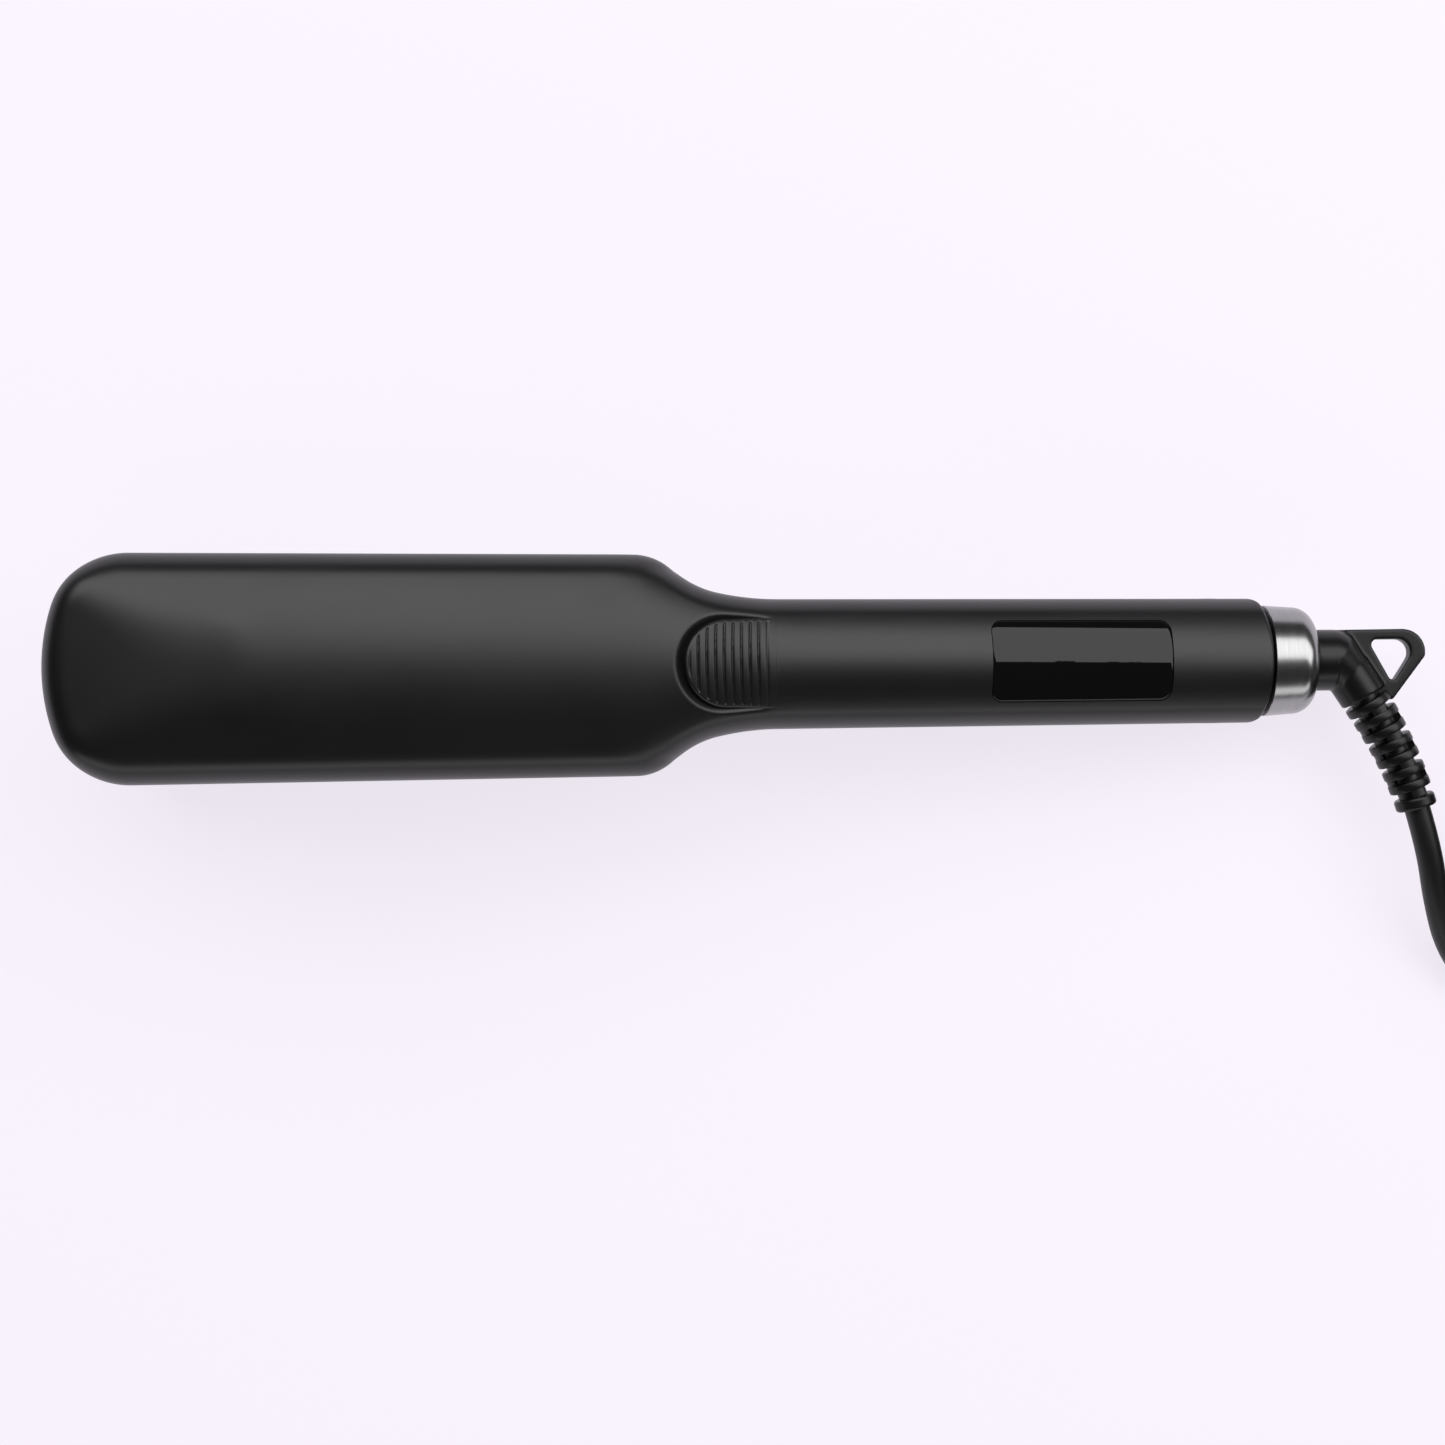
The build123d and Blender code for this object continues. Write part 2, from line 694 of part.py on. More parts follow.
def cord_boot():
    """The rubber boot: neck, elbow with hanging loop, and ribbed strain relief."""
    elbow = boot_frame((elbow_at, 0))
    bend = boot_frame(knee)
    limb = boot_frame(limb_end)
    body = rod(cup_reach + boot_gap, elbow.X, neck_radius) + Pos(*elbow) * Sphere(neck_radius)
    run = bend - elbow
    body += Plane(origin=elbow + run / 2, z_dir=run) * Cone(neck_radius - 0.15, limb_radius, run.length)
    body += Pos(*bend) * Sphere(limb_radius)
    run = limb - bend
    body += Plane(origin=bend + run / 2, z_dir=run) * Cylinder(limb_radius, run.length)
    centre = boot_frame(tab_centre)
    slope = (Vector(0, 0) - Vector(*[limb_end[0] - tab_centre[0], limb_end[1] - tab_centre[1]])).normalized()
    away = Vector(-slope.Y, slope.X) * -1
    corner = centre + away * tab_round
    outline = Polyline((elbow.X, neck_radius - 0.2), (centre.X, centre.Y + tab_round),
                       (corner.X, corner.Y), (limb.X, limb.Y), (elbow.X, elbow.Y), close=True)
    tab = make_face(outline.edges()) + Pos(*centre) * Circle(tab_round)
    hole_points = [boot_frame(p) for p in tab_hole]
    hole = make_face(Polyline(*hole_points, close=True).edges())
    for place, radius in zip(hole_points, tab_hole_round):
        near = min(hole.vertices(), key=lambda v: (Vector(v.X, v.Y, v.Z) - place).length)
        hole = fillet(near, radius)
    body += extrude(tab, tab_thickness / 2, both=True)
    body -= extrude(hole, tab_thickness * 2, both=True)
    path = relief_path()
    body += sweep(Plane(origin=path @ 0, z_dir=path % 0) * Circle(rib_core), path=path)
    length = path.length
    for number in range(rib_count):
        share = (number + 0.5) / (rib_count + 0.35)
        radius = rib_outer[0] + (rib_outer[1] - rib_outer[0]) * share
        body += disc_along(path, share, radius, rib_width)
    body += disc_along(path, 1 - collar_length / 2 / length, rib_outer[1], collar_length)
    body += disc_along(path, 0, limb_radius - 0.1, 2 * rib_width)
    body -= rod(cup_reach - 10, cup_reach + boot_gap, 2 * neck_radius)
    body -= rod(cup_reach, rear_end + 0.1, stub_radius + 0.05)
    body -= rod(cup_reach, cup_reach + boot_gap + 1.25, journal + 1.35)
    return body


# ---- the cord, its coil and its plug

boot_exit = hinged(Pos(*boot_frame(relief_end)) * Location()).position
coil_x, coil_y = coil_centre
coil_outer = coil_mid_radius + coil_rings * cord_pitch / 2
coil_inner = coil_mid_radius - coil_rings * cord_pitch / 2
coil_top = coil_layers * cord_pitch

cord_points = [
    tuple(boot_exit),
    (172.75, -46.3, 16.1),
    (175.6, -60.0, 12.6),
    (180.6, -73.0, 6.8),
    (190.4, -83.8, 3.5),
    (205.0, -90.0, 3.1),
    (221.0, -91.7, 3.1),
]
tail_points = [
    (204.8, -22.6, 21.9),
    (198.4, -37.0, 24.9),
    (199.6, -51.6, 28.2),
    (207.0, -65.0, 30.4),
    (221.0, -72.4, 31.7),
    (237.0, -72.6, 31.9),
]
plug_end = 237.0
plug_y = -72.6
plug_half_thickness = 6.8
plug_z = coil_top + plug_half_thickness + 0.1
plug_length = 38.0
plug_half_width = 17.5
plug_pin_radius = 2.0
plug_pin_length = 19.0
plug_pin_spread = 9.3


def bend_radii(points):
    """The largest even arc at each corner of a route."""
    radii = []
    for before, here, after in zip(points, points[1:], points[2:]):
        into, out = Vector(*here) - Vector(*before), Vector(*after) - Vector(*here)
        turn = math.radians(into.get_angle(out))
        radii.append(0.45 * min(into.length, out.length) / math.tan(turn / 2))
    return radii


def cord_tube(name, points):
    """A round tube along a route, with its bends printed and its volume compared with its length."""
    radii = bend_radii(points)
    path = FilletPolyline(*[Vector(*p) for p in points], radius=radii)
    tube = sweep(Plane(origin=path @ 0, z_dir=path % 0) * Circle(cord_radius), path=path)
    expected = math.pi * cord_radius**2 * path.length
    print(name, "bends", [round(r, 1) for r in radii], "length", round(path.length, 1),
          "volume ratio", round(tube.volume / expected, 4))
    return tube


def cord_coil():
    """The outer shape of the coiled cord, with a groove where the tie passes under it."""
    ring = post(coil_x, coil_y, 0, coil_top, coil_outer) - post(coil_x, coil_y, -1, coil_top + 1, coil_inner)
    half = tie_half_width + tie_gap
    groove = block(coil_x - half, coil_x + half, coil_y + coil_inner - 2, coil_y + coil_outer + 2,
                   -1, tie_thickness + tie_gap + 0.1)
    return ring - groove


def cord_tie():
    """A strap round one side of the coil."""
    grown = tie_thickness + tie_gap
    low, high = coil_y + coil_inner - grown - 0.6, coil_y + coil_outer + grown
    band = block(coil_x - tie_half_width, coil_x + tie_half_width, low, high, 0.1, coil_top + grown)
    return band - block(coil_x - tie_half_width - 1, coil_x + tie_half_width + 1, low + tie_thickness,
                        high - tie_thickness, tie_thickness + 0.1, coil_top + tie_gap)


def plug_body():
    """A flat two-pin plug with a waist for the fingers and a sleeve for the cord, lying on the coil."""
    front = plug_end + plug_length
    half = [(plug_end, 4.2), (plug_end + 9, 5.0), (plug_end + 15, 8.5), (plug_end + 24, 9.8),
            (front - 3, plug_half_width), (front, plug_half_width - 1)]
    outline = half + [(x, -y) for x, y in reversed(half)]
    body = extrude(make_face(Polyline(*outline, close=True).edges()), plug_half_thickness, both=True)
    body = chamfer(body.edges().filter_by(Axis.Z, reverse=True).group_by(Axis.Z)[-1], 1.5)
    return Pos(0, plug_y, plug_z) * body


def plug_pins():
    front = plug_end + plug_length
    pins = [rod(front, front + plug_pin_length, plug_pin_radius, plug_y + side * plug_pin_spread, plug_z)
            for side in (-1, 1)]
    return group(pins)


# ---- every node in its place

nodes = {}
lean = {"upper": open_angle, "lower": 0.0}
place = {"upper": upper, "lower": lower}
rest_plane = block(-400, 100, -60, 60, -20, half_thickness - rest_flat)

for side in ("upper", "lower"):
    put = place[side]
    tilt = lean[side]
    casing = shell(tilt) - neck_clearance(tilt)
    pad = pad_prism(pad_front, recess_half_width - pad_side_gap, pad_rear + pad_side_gap)
    thumb_pad = pad & skin(0, recess_depth, tilt)
    inner_cover = cover(tilt)
    screws = [screw(x, y, head_rim + 0.2, screw_reach) for x, y in carrier_screw_places()]
    screws.append(screw(-front_screw_at, 0, handle_rim, screw_reach))
    if side == "upper":
        casing -= window_prism(window_gap) & skin(0, window_thickness + 0.3, tilt)
        casing -= window_prism(-window_ledge) & skin(0, wall + 1, tilt)
        inside = sunk(post_sink, tilt)
        for spread in (-1, 1):
            y = spread * bracket_screw_spread
            bracket_post = post(-bracket_screw_at, y, bracket_height + bracket_thickness, 20,
                                bracket_post_radius)
            casing += bracket_post & inside
            casing -= post(-bracket_screw_at, y, 0, bracket_height + bracket_screw_length + 0.5,
                           screw_shank + screw_gap)
            inner_cover -= post(-bracket_screw_at, y, bracket_height - bracket_screw_head[1] - 0.2, 10,
                                bracket_post_radius)
        for at in button_places.values():
            inner_cover -= post(-at, 0, 0, 20, button_radius + button_gap)
        screws.append(screw(-rear_screw_at, 0, handle_rim, 2.2))
    else:
        rear_post = post(-rear_screw_at, 0, handle_rim + cover_thickness, 20, post_radius)
        casing += rear_post & sunk(post_sink, tilt)
        casing -= screw_hole(-rear_screw_at, 0, handle_rim, screw_reach)
        for spread in (-1, 1):
            y = spread * housing_screw_spread
            shelf_face = shelf_top + shelf_thickness
            casing += post(-housing_screw_at, y, shelf_face, 20, housing_post_radius) & sunk(post_sink, tilt)
            casing -= post(-housing_screw_at, y, 0, shelf_top + housing_screw_length + 0.1,
                           screw_shank + screw_gap)
        seat = web_half + housing_gap
        casing -= block(-seat, seat, -web_reach - housing_gap, web_reach + housing_gap, 0, web_bottom + 0.2)
        casing &= rest_plane
        thumb_pad &= rest_plane
        screws.append(screw(-rear_screw_at, 0, handle_rim, screw_reach))
    heater, mica, clamp = heater_stack()
    nodes[side + "_shell"] = put(casing)
    nodes[side + "_handle_cover"] = put(inner_cover)
    nodes[side + "_thumb_pad"] = put(thumb_pad)
    nodes[side + "_plate_carrier"] = put(carrier(tilt))
    nodes[side + "_cover_screws"] = put(group(screws))
    nodes[side + "_float_springs"] = put(float_springs())
    nodes[side + "_plate"] = put(plate())
    nodes[side + "_heater"] = put(heater)
    nodes[side + "_mica_sheet"] = put(mica)
    nodes[side + "_heater_clamp"] = put(clamp)
    nodes[side + "_heat_sensors"] = put(sensors())

# display and controls, in the upper arm
tilt = open_angle
window = window_prism(0) & skin(0, window_thickness, tilt)
gasket_frame = window_prism(0) - window_prism(-window_ledge + 0.2)
gasket = gasket_frame & skin(window_thickness, window_thickness + 0.3, tilt)
window_middle = -window_rear - window_length / 2
board_top = board_height + board_thickness
board = block(-board_front, -board_rear, -board_width / 2, board_width / 2, board_height, board_top)
for spread in (-1, 1):
    board -= post(-bracket_screw_at, spread * bracket_screw_spread, 0, 20, bracket_post_radius + 0.2)
lcd = block(window_middle - lcd_size[0] / 2, window_middle + lcd_size[0] / 2,
            -lcd_size[1] / 2, lcd_size[1] / 2, board_top, board_top + lcd_size[2])
chips = [block(at - length / 2, at + length / 2, y - width / 2, y + width / 2, board_top, board_top + height)
         for at, y, length, width, height in chip_sizes]
chips += [post(at, y, board_top, board_top + height, radius) for at, y, radius, height in capacitor_sizes]
nodes["display_window"] = upper(window)
nodes["display_gasket"] = upper(gasket)
nodes["lcd_module"] = upper(lcd)
nodes["control_board"] = upper(board)
nodes["board_components"] = upper(group(chips))
switches = [post(-at, 0, board_height - switch_height, board_height, switch_radius)
            for at in button_places.values()]
nodes["tact_switches"] = upper(group(switches))
for name, at in button_places.items():
    flange = handle_rim + cover_thickness + button_lift
    cap = post(-at, 0, handle_rim - button_stand, flange, button_radius)
    cap += post(-at, 0, flange, flange + button_flange, button_radius + 1)
    cap += post(-at, 0, flange, board_height - switch_height - button_travel - button_lift, stem_radius)
    nodes[name] = upper(cap)
nodes["upper_lead_wires"] = upper(lead_wires(146.0, board_front + 0.3, lead_spread, lead_height))
nodes["upper_hinge_bracket"] = upper(hinge_bracket())
bracket_screws = []
for spread in (-1, 1):
    y = spread * bracket_screw_spread
    head_radius, head_depth = bracket_screw_head
    head = post(-bracket_screw_at, y, bracket_height - head_depth, bracket_height, head_radius)
    shank = post(-bracket_screw_at, y, bracket_height, bracket_height + bracket_screw_length, screw_shank)
    bracket_screws.append(head + shank)
nodes["bracket_screws"] = upper(group(bracket_screws))

# hinge and swivel seat, in the lower body
nodes["hinge_housing"] = hinged(hinge_housing())
nodes["hinge_pin"] = hinged(axle(pin_short - handle_half_width, handle_half_width - pin_short, pin_radius))
caps = [axle(handle_half_width - pin_cap_depth, handle_half_width + pin_cap_stand, pin_cap_radius),
        axle(-handle_half_width - pin_cap_stand, pin_cap_depth - handle_half_width, pin_cap_radius)]
nodes["hinge_pin_caps"] = hinged(group(caps))
spring = helix_spring(spring_radius, spring_wire, hinge_spring_height(), spring_turns)
nodes["hinge_spring"] = hinged(Pos(-spring_at + 1.0, 0, -shelf_top) * spring)
housing_screws = []
for spread in (-1, 1):
    y = spread * housing_screw_spread
    head = post(-housing_screw_at, y, -shelf_top, -shelf_top + bracket_screw_head[1], bracket_screw_head[0])
    shank = post(-housing_screw_at, y, -shelf_top - housing_screw_length, -shelf_top, screw_shank)
    housing_screws.append(head + shank)
nodes["housing_screws"] = hinged(group(housing_screws))
nodes["end_cup"] = hinged(end_cup())
nodes["swivel_bush"] = hinged(rod(bush_front, bush_reach, bore - 0.02)
                              - rod(bush_front - 1, cup_reach, journal + journal_gap))
nodes["brush_contacts"] = hinged(brush_contacts())
nodes["lower_lead_wires"] = lower(lead_wires(146.0, block_radius + 2.5, lead_spread, lead_height))

# what turns with the cord
nodes["swivel_core"] = hinged(swivel_core())
nodes["slip_rings"] = hinged(slip_rings())
nodes["retaining_ring"] = hinged(rod(clip_front, clip_front + clip_thickness, clip_radius)
                                 - rod(clip_front - 1, clip_front + 3, journal + 0.02))
nodes["cord_boot"] = hinged(cord_boot())
nodes["cord"] = cord_tube("cord", cord_points)
nodes["cord_coil"] = cord_coil()
nodes["cord_tie"] = cord_tie()
nodes["cord_tail"] = cord_tube("cord_tail", tail_points)
nodes["plug_body"] = plug_body()
nodes["plug_pins"] = plug_pins()

os.makedirs("parts", exist_ok=True)
for name, shape in nodes.items():
    export_step(shape, "parts/" + name + ".step")
print(len(nodes), "nodes")
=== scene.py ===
import bpy
import bmesh
import json
import math
import numpy as np
from mathutils import Matrix, Vector
from mathutils.kdtree import KDTree


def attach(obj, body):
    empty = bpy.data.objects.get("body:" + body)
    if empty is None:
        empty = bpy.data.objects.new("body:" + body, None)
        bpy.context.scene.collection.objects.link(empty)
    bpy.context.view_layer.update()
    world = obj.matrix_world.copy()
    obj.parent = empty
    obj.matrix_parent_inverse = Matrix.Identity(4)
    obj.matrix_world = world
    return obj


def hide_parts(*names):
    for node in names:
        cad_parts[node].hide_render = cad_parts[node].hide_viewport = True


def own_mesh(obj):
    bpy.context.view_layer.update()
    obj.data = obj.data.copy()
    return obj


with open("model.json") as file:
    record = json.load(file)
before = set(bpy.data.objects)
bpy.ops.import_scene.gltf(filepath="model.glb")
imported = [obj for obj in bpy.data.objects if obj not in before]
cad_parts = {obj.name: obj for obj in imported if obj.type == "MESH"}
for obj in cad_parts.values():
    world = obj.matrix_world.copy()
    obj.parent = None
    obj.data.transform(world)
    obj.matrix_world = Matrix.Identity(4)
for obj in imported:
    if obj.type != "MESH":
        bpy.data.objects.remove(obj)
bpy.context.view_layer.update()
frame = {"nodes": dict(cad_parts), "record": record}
scene = bpy.context.scene

# ---- sizes that the flat iron's parts share, in metres, as the solids have them
MM = 0.001
HINGE_X = 116.2 * MM
SEAM_Z = 16.1 * MM
OPEN = math.radians(11.0)
ARM_REACH = 270.4 * MM
CROWN_TOP = 16.5 * MM  # above the seam, where an arm is thickest
WALL = 2.1 * MM
REAR = 15.9 * MM  # the rear end's reach behind the hinge
HEAD_HALF = 25.5 * MM
HANDLE_HALF = 15.1 * MM
CUP_END = 27.8 * MM

# an arm is drawn closed, about the hinge and with its outer face up, and then put in its place
HINGED = Matrix.Translation((HINGE_X, 0, SEAM_Z))
UPPER = HINGED @ Matrix.Rotation(OPEN, 4, "Y")
LOWER = HINGED @ Matrix.Diagonal((1, 1, -1, 1))
ARMS = {"upper": UPPER, "lower": LOWER}


# ---- small tools for node trees


class Value:
    """A socket that takes part in Python expressions."""

    def __init__(self, tree, socket):
        self.tree = tree
        self.socket = socket

    def other(self, name):
        """Another output of the same node."""
        return Value(self.tree, self.socket.node.outputs[name])

    def _maths(self, operation, *terms):
        return self.tree.node("ShaderNodeMath", {"operation": operation}, dict(enumerate(terms)))

    def __add__(self, other):
        return self._maths("ADD", self, other)

    def __sub__(self, other):
        return self._maths("SUBTRACT", self, other)

    def __mul__(self, other):
        return self._maths("MULTIPLY", self, other)

    def __rsub__(self, other):
        return self._maths("SUBTRACT", other, self)

    __radd__ = __add__
    __rmul__ = __mul__


class Tree:
    """A tree of shader or geometry nodes in the making."""

    def __init__(self, tree):
        self.nodes = tree.nodes
        self.links = tree.links

    def node(self, kind, settings=None, inputs=None, output=0):
        made = self.nodes.new(kind)
        for key, value in (settings or {}).items():
            setattr(made, key, value)
        for key, value in (inputs or {}).items():
            self.feed(made.inputs[key], value)
        return Value(self, made.outputs[output])

    def feed(self, socket, value):
        if isinstance(value, Value):
            self.links.new(value.socket, socket)
        else:
            socket.default_value = value


class Paint(Tree):
    """A material in the making, with the piece's own coordinates at hand."""

    MOST = (0.3, 0.7)  # between these, noise goes from its dark to its bright end

    def __init__(self, name):
        self.material = bpy.data.materials.new(name)
        self.material.use_nodes = True
        super().__init__(self.material.node_tree)
        self.shader = self.nodes["Principled BSDF"]
        self.place = self.node("ShaderNodeTexCoord", output="Object")

    def noise(self, scale, detail=3.0, stretch=(1, 1, 1), roughness=0.5):
        place = self.node("ShaderNodeMapping", inputs={"Vector": self.place, "Scale": stretch})
        inputs = {"Vector": place, "Scale": scale, "Detail": detail, "Roughness": roughness}
        return self.node("ShaderNodeTexNoise", inputs=inputs)

    def cells(self, scale):
        return self.node("ShaderNodeTexVoronoi", inputs={"Vector": self.place, "Scale": scale})

    def ramp(self, value, low, high, to_low=0.0, to_high=1.0):
        inputs = {"Value": value, "From Min": low, "From Max": high}
        inputs.update({"To Min": to_low, "To Max": to_high})
        return self.node("ShaderNodeMapRange", {"clamp": True}, inputs)

    def mix(self, share, first, second):
        inputs = {"Factor": share, 6: first, 7: second}
        return self.node("ShaderNodeMix", {"data_type": "RGBA"}, inputs, output=2)

    def bump(self, height, depth, strength=1.0):
        inputs = {"Height": height, "Distance": depth, "Strength": strength}
        return self.node("ShaderNodeBump", inputs=inputs)

    def set(self, **values):
        for key, value in values.items():
            self.feed(self.shader.inputs[key.replace("_", " ")], value)
        return self.material


def shade(level, tint=(1.0, 1.0, 1.0)):
    """A colour of an even level, with a tint if one is given."""
    return (level * tint[0], level * tint[1], level * tint[2], 1.0)


# ---- finishes


def moulded_black(name, level, rough, grain, depth, specular=0.5):
    """Moulded or painted black: a fine grain, faint handling marks and uneven gloss."""
    paint = Paint(name)
    tint = (1.0, 1.0, 1.02)
    fine = paint.noise(grain, 4.0, roughness=0.6)
    broad = paint.noise(38.0)
    marks = paint.ramp(paint.noise(140.0, 5.0, stretch=(0.35, 1, 1)), 0.56, 0.78)
    dark, pale, worn = (shade(level * share, tint) for share in (0.92, 1.1, 1.5))
    base = paint.mix(paint.ramp(broad, *Paint.MOST), dark, pale)
    base = paint.mix(marks * 0.16, base, worn)
    gloss = paint.ramp(fine, 0.25, 0.75, rough - 0.03, rough + 0.03)
    gloss = gloss + (broad - 0.5) * 0.05 + marks * 0.03
    normal = paint.bump(fine, depth, 0.8)
    return paint.set(Base_Color=base, Roughness=gloss, Specular_IOR_Level=specular, Normal=normal)


def bare_metal(name, level, rough, streaks, tint=(1.0, 1.0, 1.0), depth=2e-5, spread=0.045):
    """Turned, drawn or pressed metal: fine streaks one way and a little uneven gloss."""
    paint = Paint(name)
    fine = paint.noise(260.0, stretch=streaks)
    broad = paint.noise(60.0)
    pale = shade(min(level * 1.06, 0.97), tint)
    base = paint.mix(paint.ramp(fine, *Paint.MOST), shade(level * 0.9, tint), pale)
    gloss = paint.ramp(fine, *Paint.MOST, rough - spread, rough + spread) + (broad - 0.5) * spread
    normal = paint.bump(fine, depth, 0.5)
    return paint.set(Base_Color=base, Metallic=1.0, Roughness=gloss, Normal=normal)


def plain_coat(name, colour, rough, grain, depth, coat=0.0):
    """A coloured moulded or coated surface with a faint mottle."""
    paint = Paint(name)
    fine = paint.noise(grain)
    broad = paint.noise(90.0)
    dark = tuple(c * 0.88 for c in colour) + (1.0,)
    pale = tuple(min(c * 1.1, 1.0) for c in colour) + (1.0,)
    base = paint.mix(paint.ramp(broad, *Paint.MOST), dark, pale)
    gloss = paint.ramp(fine, *Paint.MOST, rough - 0.04, rough + 0.04)
    normal = paint.bump(fine, depth, 0.6)
    return paint.set(Base_Color=base, Roughness=gloss, Coat_Weight=coat, Normal=normal)


def ceramic_coat():
    """The plates' ceramic coat: smooth and dark, with fine bright flecks."""
    paint = Paint("ceramic_coat")
    warm = (1, 0.98, 0.97)
    flecks = paint.ramp(paint.cells(5200.0), 0.0, 0.16, 1.0, 0.0)
    haze = paint.noise(55.0, stretch=(0.4, 1, 1))
    base = paint.mix(paint.ramp(haze, *Paint.MOST), shade(0.052, warm), shade(0.066, warm))
    base = paint.mix(flecks * 0.35, base, shade(0.2))
    gloss = paint.ramp(haze, *Paint.MOST, 0.15, 0.21)
    return paint.set(Base_Color=base, Roughness=gloss, Coat_Weight=0.4)


def dark_window():
    """The display's tinted window: deep gloss with the faintest polish haze."""
    paint = Paint("dark_window")
    haze = paint.noise(120.0)
    base = paint.mix(haze, shade(0.0035), shade(0.0045))
    gloss = paint.ramp(haze, *Paint.MOST, 0.02, 0.045)
    return paint.set(Base_Color=base, Roughness=gloss, Specular_IOR_Level=0.3)


def circuit_board():
    """Green solder mask over tracks, with tinned pads."""
    paint = Paint("circuit_board")
    tracks = paint.ramp(paint.cells(420.0), 0.3, 0.34)
    pads = paint.ramp(paint.cells(700.0), 0.08, 0.1, 1.0, 0.0)
    base = paint.mix(tracks, (0.012, 0.11, 0.045, 1.0), (0.02, 0.17, 0.07, 1.0))
    base = paint.mix(pads, base, (0.6, 0.58, 0.5, 1.0))
    normal = paint.bump(tracks, 4e-5)
    return paint.set(Base_Color=base, Roughness=0.35, Metallic=pads * 0.8, Normal=normal)


# level, roughness, grain and its depth, then the specular level where it isn't the usual one
MOULDINGS = {
    "soft_touch_black": (0.0045, 0.36, 3600.0, 6e-6),
    "heatproof_black": (0.012, 0.5, 2300.0, 4e-5),
    "pad_rubber": (0.005, 0.37, 3000.0, 8e-6),
    "cord_rubber": (0.0055, 0.42, 2600.0, 1e-5, 0.4),
    "boot_rubber": (0.0045, 0.34, 2600.0, 1e-5, 0.35),
    "plug_black": (0.007, 0.4, 2800.0, 1e-5),
    "housing_black": (0.009, 0.5, 2400.0, 3e-5),
    "core_grey": (0.06, 0.45, 2400.0, 2e-5),
    "chip_black": (0.03, 0.5, 4000.0, 2e-5),
    "gasket_foam": (0.03, 0.8, 2500.0, 6e-5),
}
# level, roughness and how the streaks are drawn out, then tint, depth and spread where they differ
METALS = {
    "screw_black": (0.12, 0.4, (1, 1, 1)),
    "satin_steel": (0.34, 0.24, (16, 0.4, 0.4), (1.0, 1.0, 1.0), 2e-6, 0.02),
    "spring_steel": (0.55, 0.3, (1, 1, 1)),
    "zinc_steel": (0.58, 0.36, (1, 8, 1)),
    "switch_metal": (0.6, 0.35, (1, 1, 1)),
    "ring_brass": (0.75, 0.25, (20, 1, 1), (1.0, 0.8, 0.42)),
    "plug_nickel": (0.7, 0.18, (1, 6, 6), (1.0, 0.98, 0.95)),
}
# colour, roughness, grain and its depth, then the clear coat where there is one
COATS = {
    "lcd_glass": ((0.1, 0.115, 0.105), 0.12, 900.0, 5e-6, 0.5),
    "lead_red": ((0.42, 0.03, 0.025), 0.45, 1500.0, 2e-5),
    "bush_white": ((0.7, 0.69, 0.64), 0.4, 1500.0, 2e-5),
    "heater_ceramic": ((0.74, 0.73, 0.7), 0.6, 1800.0, 3e-5),
    "mica": ((0.5, 0.4, 0.26), 0.3, 700.0, 3e-5, 0.3),
}
FINISHES = {name: moulded_black(name, *facts) for name, facts in MOULDINGS.items()}
FINISHES.update({name: bare_metal(name, *facts) for name, facts in METALS.items()})
FINISHES.update(plate_coat=ceramic_coat(), window_gloss=dark_window(), board_green=circuit_board())
FINISHES.update({name: plain_coat(name, *facts) for name, facts in COATS.items()})
SLOTS = {row["node"]: row["material_slot"] for row in frame["record"]["subparts"]}


def dress(obj, slot_name):
    """Give a piece its finish and say which of the record's slots it is."""
    obj.data.materials.clear()
    obj.data.materials.append(FINISHES[slot_name])
    return obj


for name, node in frame["nodes"].items():
    node.data.materials.clear()
    node.data.materials.append(FINISHES[SLOTS[name]])


# ---- mesh tools


def in_scene(name, data):
    """A new object of the scene, from its mesh, curve, light or camera."""
    obj = bpy.data.objects.new(name, data)
    scene.collection.objects.link(obj)
    return obj


def mesh_object(name, points, faces, matrix=None):
    """A piece from points and faces, placed by changing its points."""
    mesh = bpy.data.meshes.new(name)
    mesh.from_pydata([tuple(p) for p in points], [], faces)
    if matrix:
        mesh.transform(matrix)
    return in_scene(name, mesh)


def clean(obj, angle=32.0, merge=1e-6):
    """Merge doubled points, turn faces outwards and shade smooth, with creases above an angle."""
    mesh = bmesh.new()
    mesh.from_mesh(obj.data)
    bmesh.ops.remove_doubles(mesh, verts=mesh.verts, dist=merge)
    bmesh.ops.dissolve_degenerate(mesh, edges=mesh.edges, dist=1e-7)
    bmesh.ops.recalc_face_normals(mesh, faces=mesh.faces)
    limit = math.radians(angle)
    for face in mesh.faces:
        face.smooth = True
    for edge in mesh.edges:
        edge.smooth = len(edge.link_faces) == 2 and edge.calc_face_angle(0.0) < limit
    mesh.to_mesh(obj.data)
    mesh.free()
    return obj


def settled_mesh(obj):
    """What a piece's modifiers make of it, as a plain mesh."""
    return bpy.data.meshes.new_from_object(obj.evaluated_get(bpy.context.evaluated_depsgraph_get()))


def settled(obj):
    """Give a piece the plain mesh that its modifiers make."""
    mesh = settled_mesh(obj)
    obj.modifiers.clear()
    obj.data = mesh


def cut(obj, cutter):
    """Take one closed piece away from another."""
    knife = obj.modifiers.new("cut", "BOOLEAN")
    knife.operation = "DIFFERENCE"
    knife.solver = "EXACT"
    knife.object = cutter
    settled(obj)
    bpy.data.objects.remove(cutter)


def joined(name, parts):
    """Several pieces of one moulding or one set, as one mesh."""
    points, faces = [], []
    for part in parts:
        start = len(points)
        points += [v.co.copy() for v in part.data.vertices]
        faces += [[start + i for i in face.vertices] for face in part.data.polygons]
        bpy.data.objects.remove(part)
    return mesh_object(name, points, faces)


